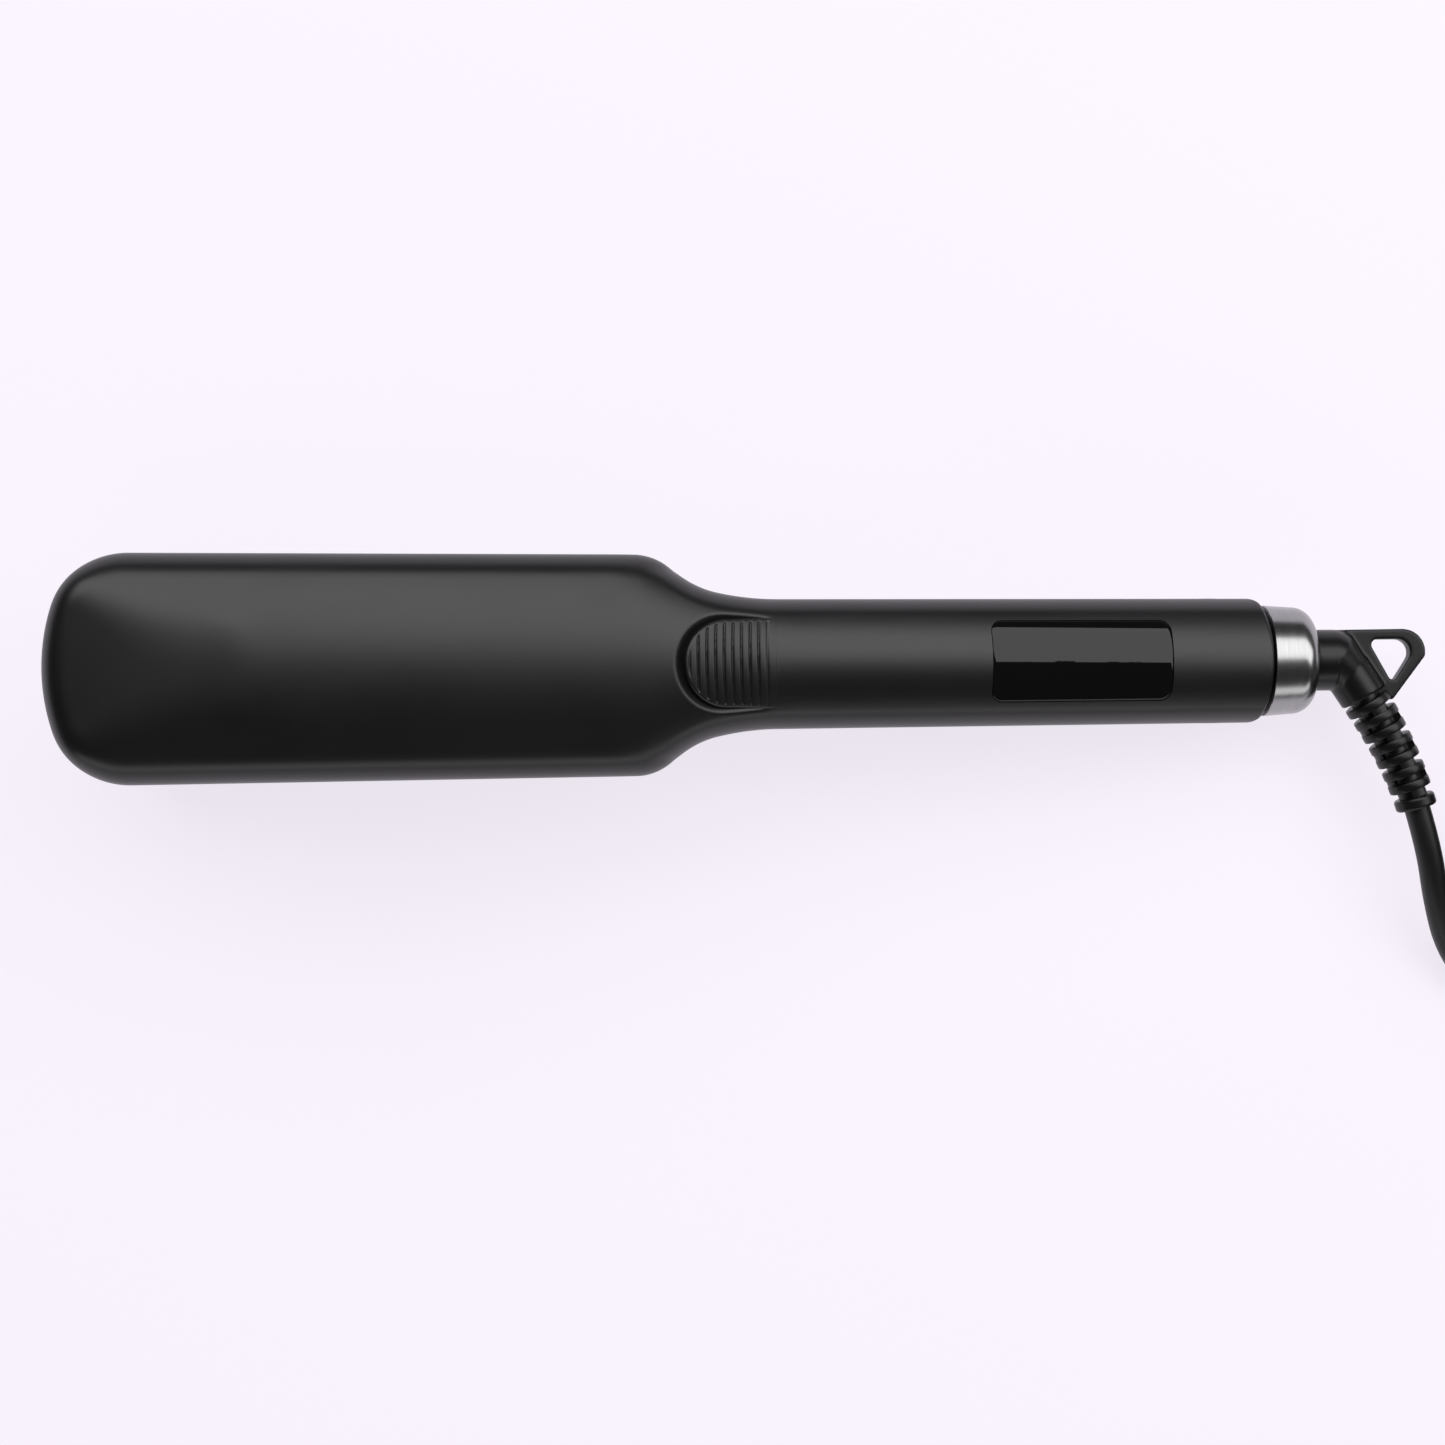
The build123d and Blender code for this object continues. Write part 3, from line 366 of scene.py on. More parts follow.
def grid_faces(rows, columns, closed_rows=False, closed_columns=False):
    """Faces between the points of a grid, whose last row or column may join its first."""
    faces = []
    for i in range(rows if closed_rows else rows - 1):
        for j in range(columns if closed_columns else columns - 1):
            a, b = i * columns + j, i * columns + (j + 1) % columns
            c, d = ((i + 1) % rows) * columns + (j + 1) % columns, ((i + 1) % rows) * columns + j
            faces.append((a, b, c, d))
    return faces


def end_caps(rows, sides):
    """The two faces that close a grid of rings."""
    return [tuple(reversed(range(sides))), tuple(range((rows - 1) * sides, rows * sides))]


def capped_faces(rows, sides):
    """The faces of a grid of rings with both ends closed."""
    return grid_faces(rows, sides, closed_columns=True) + end_caps(rows, sides)


def turned_over(faces, start):
    """The same faces on a second set of points, looking the other way."""
    return [tuple(start + i for i in reversed(face)) for face in faces]


def prism(name, outline, low, high, matrix=None):
    """A flat outline drawn out between two heights."""
    points = [(place[0], place[1], height) for height in (low, high) for place in outline]
    faces = end_caps(2, len(outline)) + grid_faces(2, len(outline), closed_columns=True)
    return mesh_object(name, points, faces, matrix)


def arc(x, y, radius, first, last, steps):
    """Points round part of a circle, from one angle to another."""
    angles = [first + (last - first) * k / steps for k in range(steps + 1)]
    return [Vector((x + radius * math.cos(a), y + radius * math.sin(a), 0)) for a in angles]


def circle(sides):
    """The cosine and sine of even steps round a circle."""
    angles = [2 * math.pi * k / sides for k in range(sides)]
    return [(math.cos(a), math.sin(a)) for a in angles]


def bar(start, end, radius):
    """The profile of a plain round bar."""
    return [(start, 0.0), (start, radius), (end, radius), (end, 0.0)]


def turned(name, profile, sides=96, matrix=None):
    """A piece turned about the X axis from its profile of (x, radius)."""
    points = [(x, radius * c, radius * s) for x, radius in profile for c, s in circle(sides)]
    return mesh_object(name, points, grid_faces(len(profile), sides, closed_columns=True), matrix)


def round_corners(points, radii, steps=8):
    """A line of straight runs with arcs of given radii at its inner points."""
    line = [Vector(points[0])]
    for before, here, after, radius in zip(points, points[1:], points[2:], radii):
        before, here, after = Vector(before), Vector(here), Vector(after)
        into, out = (here - before).normalized(), (after - here).normalized()
        turn = into.angle(out)
        reach = radius * math.tan(turn / 2)
        start, end = here - into * reach, here + out * reach
        centre = here + (out - into).normalized() * (radius / math.cos(turn / 2))
        first, last = (start - centre).normalized(), (end - centre).normalized()
        line += [centre + first.slerp(last, k / steps) * radius for k in range(steps + 1)]
    line.append(Vector(points[-1]))
    return line


def spaced(line, step):
    """Points at even spacing along a line."""
    lengths = [0.0]
    for a, b in zip(line, line[1:]):
        lengths.append(lengths[-1] + (b - a).length)
    count = max(int(round(lengths[-1] / step)), 1)
    made, k = [], 0
    for number in range(count + 1):
        target = lengths[-1] * number / count
        while k < len(lengths) - 2 and lengths[k + 1] < target:
            k += 1
        share = (target - lengths[k]) / max(lengths[k + 1] - lengths[k], 1e-12)
        made.append(line[k].lerp(line[k + 1], min(max(share, 0), 1)))
    return made


def smooth_step(low, high, value):
    """From 0 to 1 between two values, with an even start and end."""
    share = np.clip((value - low) / (high - low), 0, 1)
    return share * share * (3 - 2 * share)


# ---- the arm's outer form
NOSE_RADIUS, NOSE_CORNER = 45 * MM, 17 * MM
SHOULDER_AT, SHOULDER_SLOPE = 135.6 * MM, math.radians(39.0)
WAIST_SLOPE, WAIST_RUN = math.radians(12.0), 12.2 * MM
SIDE_ROUNDS = (13 * MM, 20 * MM, 64 * MM)  # at the shoulder, the throat and the waist
PAST_THE_REAR = 60 * MM
WAIST_END, HANDLE_END = -90 * MM, -2 * MM
REAR_BOW, REAR_CORNER, REAR_INNER = 45 * MM, 3.3 * MM, 12 * MM
HEAD_CROWN, HANDLE_CROWN = 60 * MM, 22 * MM
CROWN_CHANGE = (-146 * MM, -100 * MM)
NOSE_RUN, NOSE_BEND, NOSE_BLEND = 42 * MM, 220 * MM, 1.2 * MM
EDGE_REACH, EDGE_DROP = (5.31, 3.94), (5.34, 3.93)  # in mm, on the head and on the handle
REAR_ROUND = 0.8 * MM


def nose_line():
    """From the tip round the nose to the start of the straight side."""
    centre = NOSE_RADIUS - ARM_REACH
    corner_y = HEAD_HALF - NOSE_CORNER
    corner_x = centre - math.sqrt((NOSE_RADIUS - NOSE_CORNER) ** 2 - corner_y**2)
    join = math.atan2(corner_y, corner_x - centre)
    tip = arc(centre, 0.0, NOSE_RADIUS, math.pi, join, 24)
    return tip + arc(corner_x, corner_y, NOSE_CORNER, join, math.pi / 2, 32)[1:]


def side_line():
    """The straight side, shoulder, throat and handle, as far as the rear corner."""
    throat_y = HANDLE_HALF + WAIST_RUN * math.sin(WAIST_SLOPE)
    throat_x = -SHOULDER_AT + (HEAD_HALF - throat_y) / math.tan(SHOULDER_SLOPE)
    waist_x = throat_x + WAIST_RUN * math.cos(WAIST_SLOPE)
    corners = [NOSE[-1], (-SHOULDER_AT, HEAD_HALF, 0), (throat_x, throat_y, 0),
               (waist_x, HANDLE_HALF, 0), (PAST_THE_REAR, HANDLE_HALF, 0)]
    return round_corners(corners, SIDE_ROUNDS, 20)


def rear_x(y):
    """The bowed rear end."""
    return REAR - REAR_BOW + np.sqrt(np.maximum(REAR_BOW**2 - y * y, 0))


def rear_line():
    """Round the rear corner and along the bow to the middle."""
    corners = [(HANDLE_END, HANDLE_HALF, 0), (float(rear_x(HANDLE_HALF)), HANDLE_HALF, 0),
               (float(rear_x(REAR_INNER)), REAR_INNER, 0)]
    corner = round_corners(corners, [REAR_CORNER], 14)[1:-1]
    bow = np.linspace(corner[-1].y * 0.96, 0.0, 22)
    return corner + [Vector((float(rear_x(y)), y, 0)) for y in bow]


NOSE = nose_line()
SIDE = side_line()
SIDE_POINTS = np.array([p[:2] for p in spaced(NOSE + SIDE[1:], 0.5 * MM)])
SIDE_TREE = KDTree(len(SIDE_POINTS))
for number, place in enumerate(SIDE_POINTS):
    SIDE_TREE.insert((place[0], place[1], 0.0), number)
SIDE_TREE.balance()


def side_distance(x, y):
    """How far each point lies inside the arm's side outline."""
    places = np.stack([x.ravel(), np.abs(y).ravel()], 1)
    nearest = np.array([SIDE_TREE.find((float(a), float(b), 0.0))[1] for a, b in places])
    best = np.full(len(places), 1.0)
    for step in (-1, 0):
        first = np.clip(nearest + step, 0, len(SIDE_POINTS) - 2)
        start, run = SIDE_POINTS[first], SIDE_POINTS[first + 1] - SIDE_POINTS[first]
        share = np.clip(((places - start) * run).sum(1) / (run * run).sum(1), 0, 1)
        gap = places - start - run * share[:, None]
        best = np.minimum(best, np.hypot(gap[:, 0], gap[:, 1]))
    return best.reshape(x.shape)


def crown_height(x, y):
    """The arched top: a flat arch on the head, a round arch on the handle, and a fallen nose."""
    share = smooth_step(CROWN_CHANGE[0], CROWN_CHANGE[1], x)
    head = CROWN_TOP - HEAD_CROWN + np.sqrt(HEAD_CROWN**2 - np.minimum(y * y, (30 * MM) ** 2))
    handle = CROWN_TOP - HANDLE_CROWN + np.sqrt(np.maximum(HANDLE_CROWN**2 - y * y, (4 * MM) ** 2))
    arch = head * (1 - share) + handle * share
    run = np.maximum(-x - (ARM_REACH - NOSE_RUN), 0)
    nose = CROWN_TOP - NOSE_BEND + np.sqrt(NOSE_BEND**2 - run * run)
    near = np.clip(0.5 + (nose - arch) / (2 * NOSE_BLEND), 0, 1)
    round_over = NOSE_BLEND * near * (1 - near) * np.minimum(run / (8 * MM), 1)
    return np.where(run > 0, nose * (1 - near) + arch * near - round_over, arch)


def outer_height(x, y, inset=None):
    """The arm's outer face, with its rounded edges."""
    share = smooth_step(CROWN_CHANGE[0], CROWN_CHANGE[1], x)
    reach = (EDGE_REACH[0] * (1 - share) + EDGE_REACH[1] * share) * MM
    drop = (EDGE_DROP[0] * (1 - share) + EDGE_DROP[1] * share) * MM
    inset = side_distance(x, y) if inset is None else inset
    side = np.clip(1 - inset / reach, 0, 1)
    rear = np.clip(1 - (rear_x(np.minimum(np.abs(y), 40 * MM)) - x) / REAR_ROUND, 0, 1)
    fall = drop * (1 - np.sqrt(1 - side * side)) + REAR_ROUND * (1 - np.sqrt(1 - rear * rear))
    return crown_height(x, y) - fall


def rim_height(x):
    """The arm's rim above the seam: low on the head, higher on the handle, bevelled at the rear."""
    bevel = math.tan(OPEN / 2)
    knots = [(-300, 0.4), (-114, 0.4), (-106, 3.0), (-7.3, 3.0)]
    knots += [(reach, reach * bevel + 0.2) for reach in (7.3, 60)]
    return np.interp(x, [k[0] * MM for k in knots], [k[1] * MM for k in knots])


# the thumb recess and the pad in it, which are rounded towards the tip
PAD_FRONT, PAD_HALF, PAD_REAR = 130.6 * MM, 10.1 * MM, 108.3 * MM
RECESS_FRONT, RECESS_HALF, RECESS_DEPTH = 132.7 * MM, 11.1 * MM, 1.7 * MM


def inside_u(x, y, front, half):
    """How far a point lies inside a U that is rounded towards the tip."""
    middle = half - front
    return np.where(x < middle, half - np.hypot(x - middle, y), half - np.abs(y))


def recess_depth(x, y):
    """The shell's thumb recess, which fades out towards the handle."""
    half = RECESS_HALF - 0.9 * MM * smooth_step(-122 * MM, -107 * MM, x)
    inset = inside_u(x, y, RECESS_FRONT, half)
    wall = smooth_step(-0.5 * MM, 2.2 * MM, inset)
    fade = 1 - smooth_step(-113.0 * MM, -109.4 * MM, x)
    return RECESS_DEPTH * wall * fade


SPINE = (25 * MM - ARM_REACH, 6 * MM)  # the ends of the line that the skin's rows run to
EDGE_SHARES = (0.0, 0.008, 0.025, 0.05, 0.08, 0.115, 0.155, 0.2, 0.25)
WALL_SHARES = (0.0, 0.25, 0.5, 0.75)
CAP_INNER, CAP_OUTER, CAP_RADIUS = 8.1 * MM, 22 * MM, 7.3 * MM  # room for the hinge pin's caps


def shell_outline():
    """Half of an arm's outline from tip to rear, with closer points where it turns."""
    waist, handle = (Vector((x, HANDLE_HALF, 0)) for x in (WAIST_END, HANDLE_END))
    shoulder = [p for p in SIDE[1:-1] if p.x < WAIST_END] + [waist]
    line = spaced(NOSE, 1.1 * MM)
    for run, step in ((SIDE[:2], 2.6 * MM), (shoulder, 0.5 * MM), ([waist, handle], 1.6 * MM)):
        line += spaced(run, step)[1:]
    return line + [p for p in rear_line() if p.x > HANDLE_END + 0.1 * MM]


def outer_skin(side):
    """Half of the outer face as a grid, whose rows go from the rim up and over to the middle."""
    outline = np.array([p[:2] for p in shell_outline()])
    edge_x, edge_y = outline[:, :1], outline[:, 1:]
    share = np.array([*EDGE_SHARES, *np.linspace(0.29, 1.0, 32)])
    x, y = edge_x + (np.clip(edge_x, *SPINE) - edge_x) * share, edge_y * (1 - share)
    inset = side_distance(x, y)
    inset[:, 0] = np.where(edge_x[:, 0] < HANDLE_END, 0.0, inset[:, 0])
    z = outer_height(x, y, inset)
    if side == "lower":
        z = np.minimum(z, SEAM_Z)
    rim = rim_height(edge_x)
    z = np.concatenate([rim + (z[:, :1] - rim) * np.array(WALL_SHARES), z], 1)
    x = np.concatenate([np.repeat(edge_x, len(WALL_SHARES), 1), x], 1)
    y = np.concatenate([np.repeat(edge_y, len(WALL_SHARES), 1), y], 1)
    if side == "upper":
        x = x - math.tan(OPEN) * z * smooth_step(-6 * MM, 9 * MM, x)
    return np.stack([x, y, z], 2)


def inner_skin(points, faces, rows, columns):
    """The skin moved in by the wall's thickness, level at the rim and ending on the middle line."""
    skin = mesh_object("skin", points, faces)
    normals = np.zeros(len(points) * 3)
    skin.data.vertices.foreach_get("normal", normals)
    bpy.data.objects.remove(skin)
    normals = normals.reshape(-1, 3)
    if normals[rows // 2 * columns + columns - 4][2] < 0:
        normals = -normals
    normals[::columns, 2] = 0
    normals /= np.linalg.norm(normals, axis=1)[:, None]
    inner = points - normals * WALL
    inner[columns - 1 :: columns, 1] = 0
    return inner


def arm_shell(side):
    """The shell of an arm: outer face, wall, rim and inner face, with the recess pressed in."""
    skin = outer_skin(side)
    rows, columns = skin.shape[:2]
    points, faces = skin.reshape(-1, 3), grid_faces(rows, columns)
    inner = inner_skin(points, faces, rows, columns)
    deep = points.copy()
    deep[:, 2] -= recess_depth(points[:, 0], points[:, 1])
    count = len(points)
    faces += turned_over(faces, count)
    for a in range(0, (rows - 1) * columns, columns):
        b = a + columns
        faces.append((b, a, count + a, count + b))
    half = np.concatenate([deep, inner])
    faces += turned_over(faces, len(half))
    both = np.concatenate([half, half * np.array([1, -1, 1])])
    shell = clean(mesh_object(side + "_arm_shell", both, faces, ARMS[side]), 180.0, 4e-6)
    across = HINGED @ Matrix.Rotation(math.pi / 2, 4, "Z")
    for sign in (1, -1):
        profile = bar(sign * CAP_INNER, sign * CAP_OUTER, CAP_RADIUS)
        cut(shell, clean(turned("cap_room", profile, matrix=across), 30.0))
    if side == "upper":
        opening = prism("window_opening", window_outline(0.15 * MM), 2 * MM, 24 * MM, UPPER)
        cut(shell, clean(opening, 180.0))
    return clean(shell, 33.0)


# ---- the display's window
WINDOW_REAR, WINDOW_LENGTH, WINDOW_WIDTH, WINDOW_CORNER = 13.3 * MM, 44.5 * MM, 18.9 * MM, 2.6 * MM
WINDOW_MIDDLE = -WINDOW_REAR - WINDOW_LENGTH / 2
WINDOW_SINK = 0.02  # in mm, below the handle's face


def window_outline(grow, step=0.0):
    """The window's rounded rectangle, grown on all sides; a step adds points along its runs."""
    half_x, half_y = WINDOW_LENGTH / 2 + grow, WINDOW_WIDTH / 2 + grow
    radius = WINDOW_CORNER + grow
    line = []
    for k, (sx, sy) in enumerate(((1, 1), (-1, 1), (-1, -1), (1, -1))):
        for part in range(13):
            angle = math.pi / 2 * (k + part / 12)
            line.append((WINDOW_MIDDLE + sx * (half_x - radius) + radius * math.cos(angle),
                         sy * (half_y - radius) + radius * math.sin(angle)))
    if not step:
        return line
    ring = [Vector((x, y, 0)) for x, y in line]
    full = []
    for here, after in zip(ring, ring[1:] + ring[:1]):
        full += spaced([here, after], step)[:-1] if (after - here).length > step else [here]
    return [(p.x, p.y) for p in full]


def display_window():
    """The glossy window, arched like the handle, with a fine rounded edge."""
    rings = [(0.0, 1.15), (0.0, 0.2), (0.05, 0.06), (0.2, 0.0)]
    rings += [(inset, 0.0) for inset in np.linspace(0.6, 9.44, 17)]
    outline = window_outline(0.0, 1.0 * MM)
    half, reach = WINDOW_WIDTH / 2 / MM, (WINDOW_LENGTH - WINDOW_WIDTH) / 2
    points = []
    for inset, down in rings:
        share = inset / half
        for x, y in outline:
            spine = min(max(x, WINDOW_MIDDLE - reach), WINDOW_MIDDLE + reach)
            px, py = x + (spine - x) * share, y * (1 - share)
            height = float(crown_height(px, py))
            points.append((px, py, height - (down + WINDOW_SINK) * MM))
    count = len(outline)
    faces = grid_faces(len(rings), count, closed_columns=True) + [tuple(range(count))]
    return clean(mesh_object("display_glass", points, faces, UPPER), 40.0, 2e-5)


# ---- thumb pads
PAD_RIB_FIRST, PAD_RIB_PITCH, PAD_RIB_BOW = 128.9 * MM, 2.0 * MM, 0.7 * MM
GROOVE_WIDE, GROOVE_DEEP = 0.27 * MM, 0.34 * MM
PAD_EDGE, PAD_EDGE_DROP, PAD_THICK = 0.7 * MM, 0.5 * MM, 1.6 * MM


def thumb_pad(side):
    """The ribbed rubber pad, fading into the handle."""
    columns, rows = 190, 61
    middle = PAD_HALF - PAD_FRONT
    x = np.linspace(-PAD_FRONT, 1.5 * MM - PAD_REAR, columns)[:, None]
    spread = np.sqrt(np.maximum(PAD_HALF**2 - (middle - x) ** 2, (0.25 * MM) ** 2))
    spread = np.where(x < middle, spread, PAD_HALF)
    spread = spread + 0.35 * MM * smooth_step(-121 * MM, -110 * MM, x)
    y = spread * np.sin(np.linspace(-1, 1, rows) * math.pi / 2)
    x = np.repeat(x, rows, 1)
    z = outer_height(x, y)
    inset = inside_u(x, y, PAD_FRONT, PAD_HALF) + np.where(x > middle, spread - PAD_HALF, 0)
    edge = np.clip(1 - inset / PAD_EDGE, 0, 1)
    shown = 1 - smooth_step(-113.5 * MM, -109.0 * MM, x)
    bow = PAD_RIB_BOW * (1 - (y / PAD_HALF) ** 2)
    phase = (x + bow + PAD_RIB_FIRST) / PAD_RIB_PITCH
    groove = np.exp(-(((phase - np.round(phase)) * PAD_RIB_PITCH / GROOVE_WIDE) ** 2))
    groove *= smooth_step(0.5 * MM, 1.2 * MM, inset)
    sink = 0.1 * MM * (1 - smooth_step(-117 * MM, -112 * MM, x)) - 0.012 * MM * (1 - shown)
    sink += (PAD_EDGE_DROP * (1 - np.sqrt(1 - edge * edge)) + GROOVE_DEEP * groove) * shown
    sink += 0.7 * MM * smooth_step(-109.2 * MM, -107.4 * MM, x)
    top = z - sink if side == "upper" else np.minimum(z - sink, SEAM_Z)
    heights = (top, z - PAD_THICK)
    points = np.concatenate([np.stack([x, y, height], 2).reshape(-1, 3) for height in heights])
    count = rows * columns
    faces = grid_faces(columns, rows)
    faces += turned_over(faces, count)
    rim = [*range(rows), *range(2 * rows - 1, count, rows)]
    rim += [*range(count - 2, count - rows - 1, -1), *range(count - 2 * rows, 0, -rows)]
    faces += [(a, b, count + b, count + a) for a, b in zip(rim, rim[1:] + rim[:1])]
    return clean(mesh_object(side + "_ribbed_pad", points, faces, ARMS[side]), 50.0, 1e-6)


# ---- steel cup over the swivel
CUP_FRONT, CUP_CORNER, CUP_THICK, CUP_HOLE = 16.02 * MM, 4.9 * MM, 1.0 * MM, 7.85 * MM
CUP_WIDE, CUP_NARROW, CUP_EDGE = 13.6 * MM, 13.1 * MM, 0.15 * MM


def end_cup():
    """The drawn cup, with a rolled rim round the cord's neck."""
    inner = (CUP_FRONT, CUP_WIDE - CUP_THICK)
    profile = [inner, (CUP_FRONT, CUP_WIDE - CUP_EDGE), (CUP_FRONT + CUP_EDGE, CUP_WIDE)]
    corner = CUP_END - CUP_CORNER
    length, taper = corner - CUP_FRONT, CUP_NARROW - CUP_WIDE
    profile += [(CUP_FRONT + length * k / 5, CUP_WIDE + taper * k / 5) for k in range(1, 5)]
    for angle in (math.pi / 2 * k / 16 for k in range(17)):
        across = CUP_NARROW - CUP_CORNER + CUP_CORNER * math.cos(angle)
        profile.append((corner + CUP_CORNER * math.sin(angle), across))
    profile += [(CUP_END, CUP_HOLE + 0.12 * MM), (CUP_END - 0.12 * MM, CUP_HOLE)]
    profile += [(CUP_END - CUP_THICK, CUP_HOLE), (corner, CUP_NARROW - CUP_THICK), inner]
    return clean(turned("steel_cup", profile, 160, HINGED), 40.0)


# ---- rubber boot: neck, elbow, hanging loop and ribbed strain relief
NECK, LIMB = 7.5 * MM, 5.7 * MM


def boot_place(x, y):
    """A point behind the cup's end, in millimetres."""
    return Vector((CUP_END + x * MM, y * MM, 0))


ELBOW, KNEE = boot_place(5.2, 0), boot_place(9.4, -3.3)
RELIEF_START, RELIEF_END = boot_place(12.8, -8.6), boot_place(25.9, -36.5)
RELIEF_TURN = (math.radians(57.0), math.radians(74.0))
TAB_CENTRE, TAB_ROUND, TAB_THICK = boot_place(22.4, 1.8), 5.6 * MM, 3.5 * MM
TAB_ROOT, TAB_INNER = boot_place(19.9, -9.9), boot_place(13.5, -9.4)
TAB_HOLE = [boot_place(*p) for p in ((13.9, 4.9), (26.9, 4.9), (19.9, -6.1))]
TAB_HOLE_ROUNDS = (1.3 * MM, 3.2 * MM, 1.1 * MM)


def rod_between(name, start, end, first, second):
    """A round bar from one point to another, with domed ends of two radii."""
    run = (end - start).length
    angles = np.linspace(0, math.pi / 2, 12)
    profile = [(-first * math.cos(a), first * math.sin(a)) for a in angles]
    profile += [(run + second * math.sin(a), second * math.cos(a)) for a in angles]
    turn = Vector((1, 0, 0)).rotation_difference(end - start).to_matrix().to_4x4()
    return clean(turned(name, profile, 64, Matrix.Translation(start) @ turn), 60.0)


def flat_slab(name, outline, thick, hole=None):
    """A flat web of even thickness, with a hole if one is given."""
    slab = clean(prism(name, outline, -thick / 2, thick / 2), 60.0)
    if hole:
        cut(slab, flat_slab("hole", hole, thick * 3))
    return slab


def loop_round(points, radii):
    """A closed outline with rounded corners."""
    line = []
    for k, here in enumerate(points):
        after = points[(k + 1) % len(points)]
        line += round_corners([points[k - 1], here, after], [radii[k]])[1:-1]
    return line


def boot_body():
    """Neck, elbow, limb and hanging loop, melted together as one moulding."""
    neck = clean(turned("neck", bar(CUP_END + 0.3 * MM, ELBOW.x, NECK)), 40.0)
    limb_place = Matrix.Translation(RELIEF_START) @ Matrix.Rotation(-RELIEF_TURN[0], 4, "Z")
    limb = clean(turned("limb", bar(-6.0 * MM, 0.4 * MM, LIMB), matrix=limb_place), 40.0)
    slope = (TAB_CENTRE - TAB_ROOT).normalized()
    last = math.atan2(-slope.x, slope.y)
    top = Vector((ELBOW.x, NECK - 0.15 * MM, 0))
    bend = arc(TAB_CENTRE.x, TAB_CENTRE.y, TAB_ROUND, math.pi / 2, last, 24)
    outline = [top, *bend, TAB_ROOT, TAB_INNER, ELBOW]
    tab = flat_slab("tab", outline, TAB_THICK, loop_round(TAB_HOLE, TAB_HOLE_ROUNDS))
    body = joined("boot_body", [neck, rod_between("elbow", ELBOW, KNEE, NECK, LIMB), limb, tab])
    remesh = body.modifiers.new("melt", "REMESH")
    remesh.mode = "VOXEL"
    remesh.voxel_size = 0.32 * MM
    relax = body.modifiers.new("relax", "SMOOTH")
    relax.iterations = 5
    relax.factor = 0.5
    settled(body)
    body.data.transform(HINGED)
    return clean(body, 80.0)


RELIEF_STEPS = 120


def relief_line():
    """The strain relief's centre line, bending evenly between its two directions."""
    run = (RELIEF_END - RELIEF_START).length
    first, last = (Vector((math.cos(a), -math.sin(a), 0)) * run for a in RELIEF_TURN)
    line = []
    for k in range(RELIEF_STEPS + 1):
        t = k / RELIEF_STEPS
        a, b, c, d = 2 * t**3 - 3 * t**2 + 1, t**3 - 2 * t**2 + t, -2 * t**3 + 3 * t**2, t**3 - t**2
        line.append(RELIEF_START * a + first * b + RELIEF_END * c + last * d)
    return line


def tube_along(name, line, radii, sides=40):
    """A closed round tube along a flat line, with a radius for each point."""
    points = []
    for k, here in enumerate(line):
        along = (line[min(k + 1, len(line) - 1)] - line[max(k - 1, 0)]).normalized()
        across, up, radius = Vector((-along.y, along.x, 0)), Vector((0, 0, 1)), radii[k]
        points += [here + across * (radius * c) + up * (radius * s) for c, s in circle(sides)]
    return mesh_object(name, points, capped_faces(len(line), sides))


def rib_tree():
    """Geometry Nodes that set a rib along a line, each turned and scaled on from the last."""
    group = bpy.data.node_groups.new("relief_ribs", "GeometryNodeTree")
    kinds = {"Line": "Geometry", "Rib": "Object", "Count": "Int", "Growth": "Float"}
    kinds["Finish"] = "Material"
    add = group.interface.new_socket
    sockets = {name: add(name, in_out="INPUT", socket_type="NodeSocket" + kind)
               for name, kind in kinds.items()}
    add("Ribs", in_out="OUTPUT", socket_type="NodeSocketGeometry")
    tree = Tree(group)
    line = tree.node("NodeGroupInput")
    rib, count, growth, finish = (line.other(name) for name in ("Rib", "Count", "Growth", "Finish"))
    spots = {"Curve": line, "Count": count}
    spots = tree.node("GeometryNodeCurveToPoints", {"mode": "COUNT"}, spots, "Points")
    number = tree.node("GeometryNodeInputIndex")
    quarters = {"Axis": (0, 0, 1), "Angle": number * (math.pi / 2)}
    quarters = tree.node("FunctionNodeAxisAngleToRotation", inputs=quarters)
    turns = {0: spots.other("Rotation"), 1: quarters}
    turns = tree.node("FunctionNodeRotateRotation", {"rotation_space": "LOCAL"}, turns)
    size = number * growth + 1
    scale = tree.node("ShaderNodeCombineXYZ", inputs={0: size, 1: size, 2: 1.0})
    shape = tree.node("GeometryNodeObjectInfo", inputs={"Object": rib}, output="Geometry")
    ribs = {"Points": spots, "Instance": shape, "Rotation": turns, "Scale": scale}
    ribs = tree.node("GeometryNodeInstanceOnPoints", inputs=ribs)
    ribs = tree.node("GeometryNodeRealizeInstances", inputs={0: ribs})
    ribs = tree.node("GeometryNodeSetMaterial", inputs={"Geometry": ribs, "Material": finish})
    tree.feed(tree.nodes.new("NodeGroupOutput").inputs[0], ribs)
    return group, sockets


def grown(name, base, group, sockets, values):
    """Run a Geometry Nodes tree on an object and keep the result as a plain mesh."""
    modifier = base.modifiers.new("grow", "NODES")
    modifier.node_group = group
    for key, value in values.items():
        modifier[sockets[key].identifier] = value
    made = in_scene(name, settled_mesh(base))
    bpy.data.objects.remove(base)
    return made


def curve_object(name, kind, points):
    """A curve of one open spline, from its points."""
    data = bpy.data.curves.new(name, "CURVE")
    data.dimensions = "3D"
    spline = data.splines.new(kind)
    spline.points.add(len(points) - 1)
    for knot, place in zip(spline.points, points):
        knot.co = (*place, 1.0)
    return in_scene(name, data)


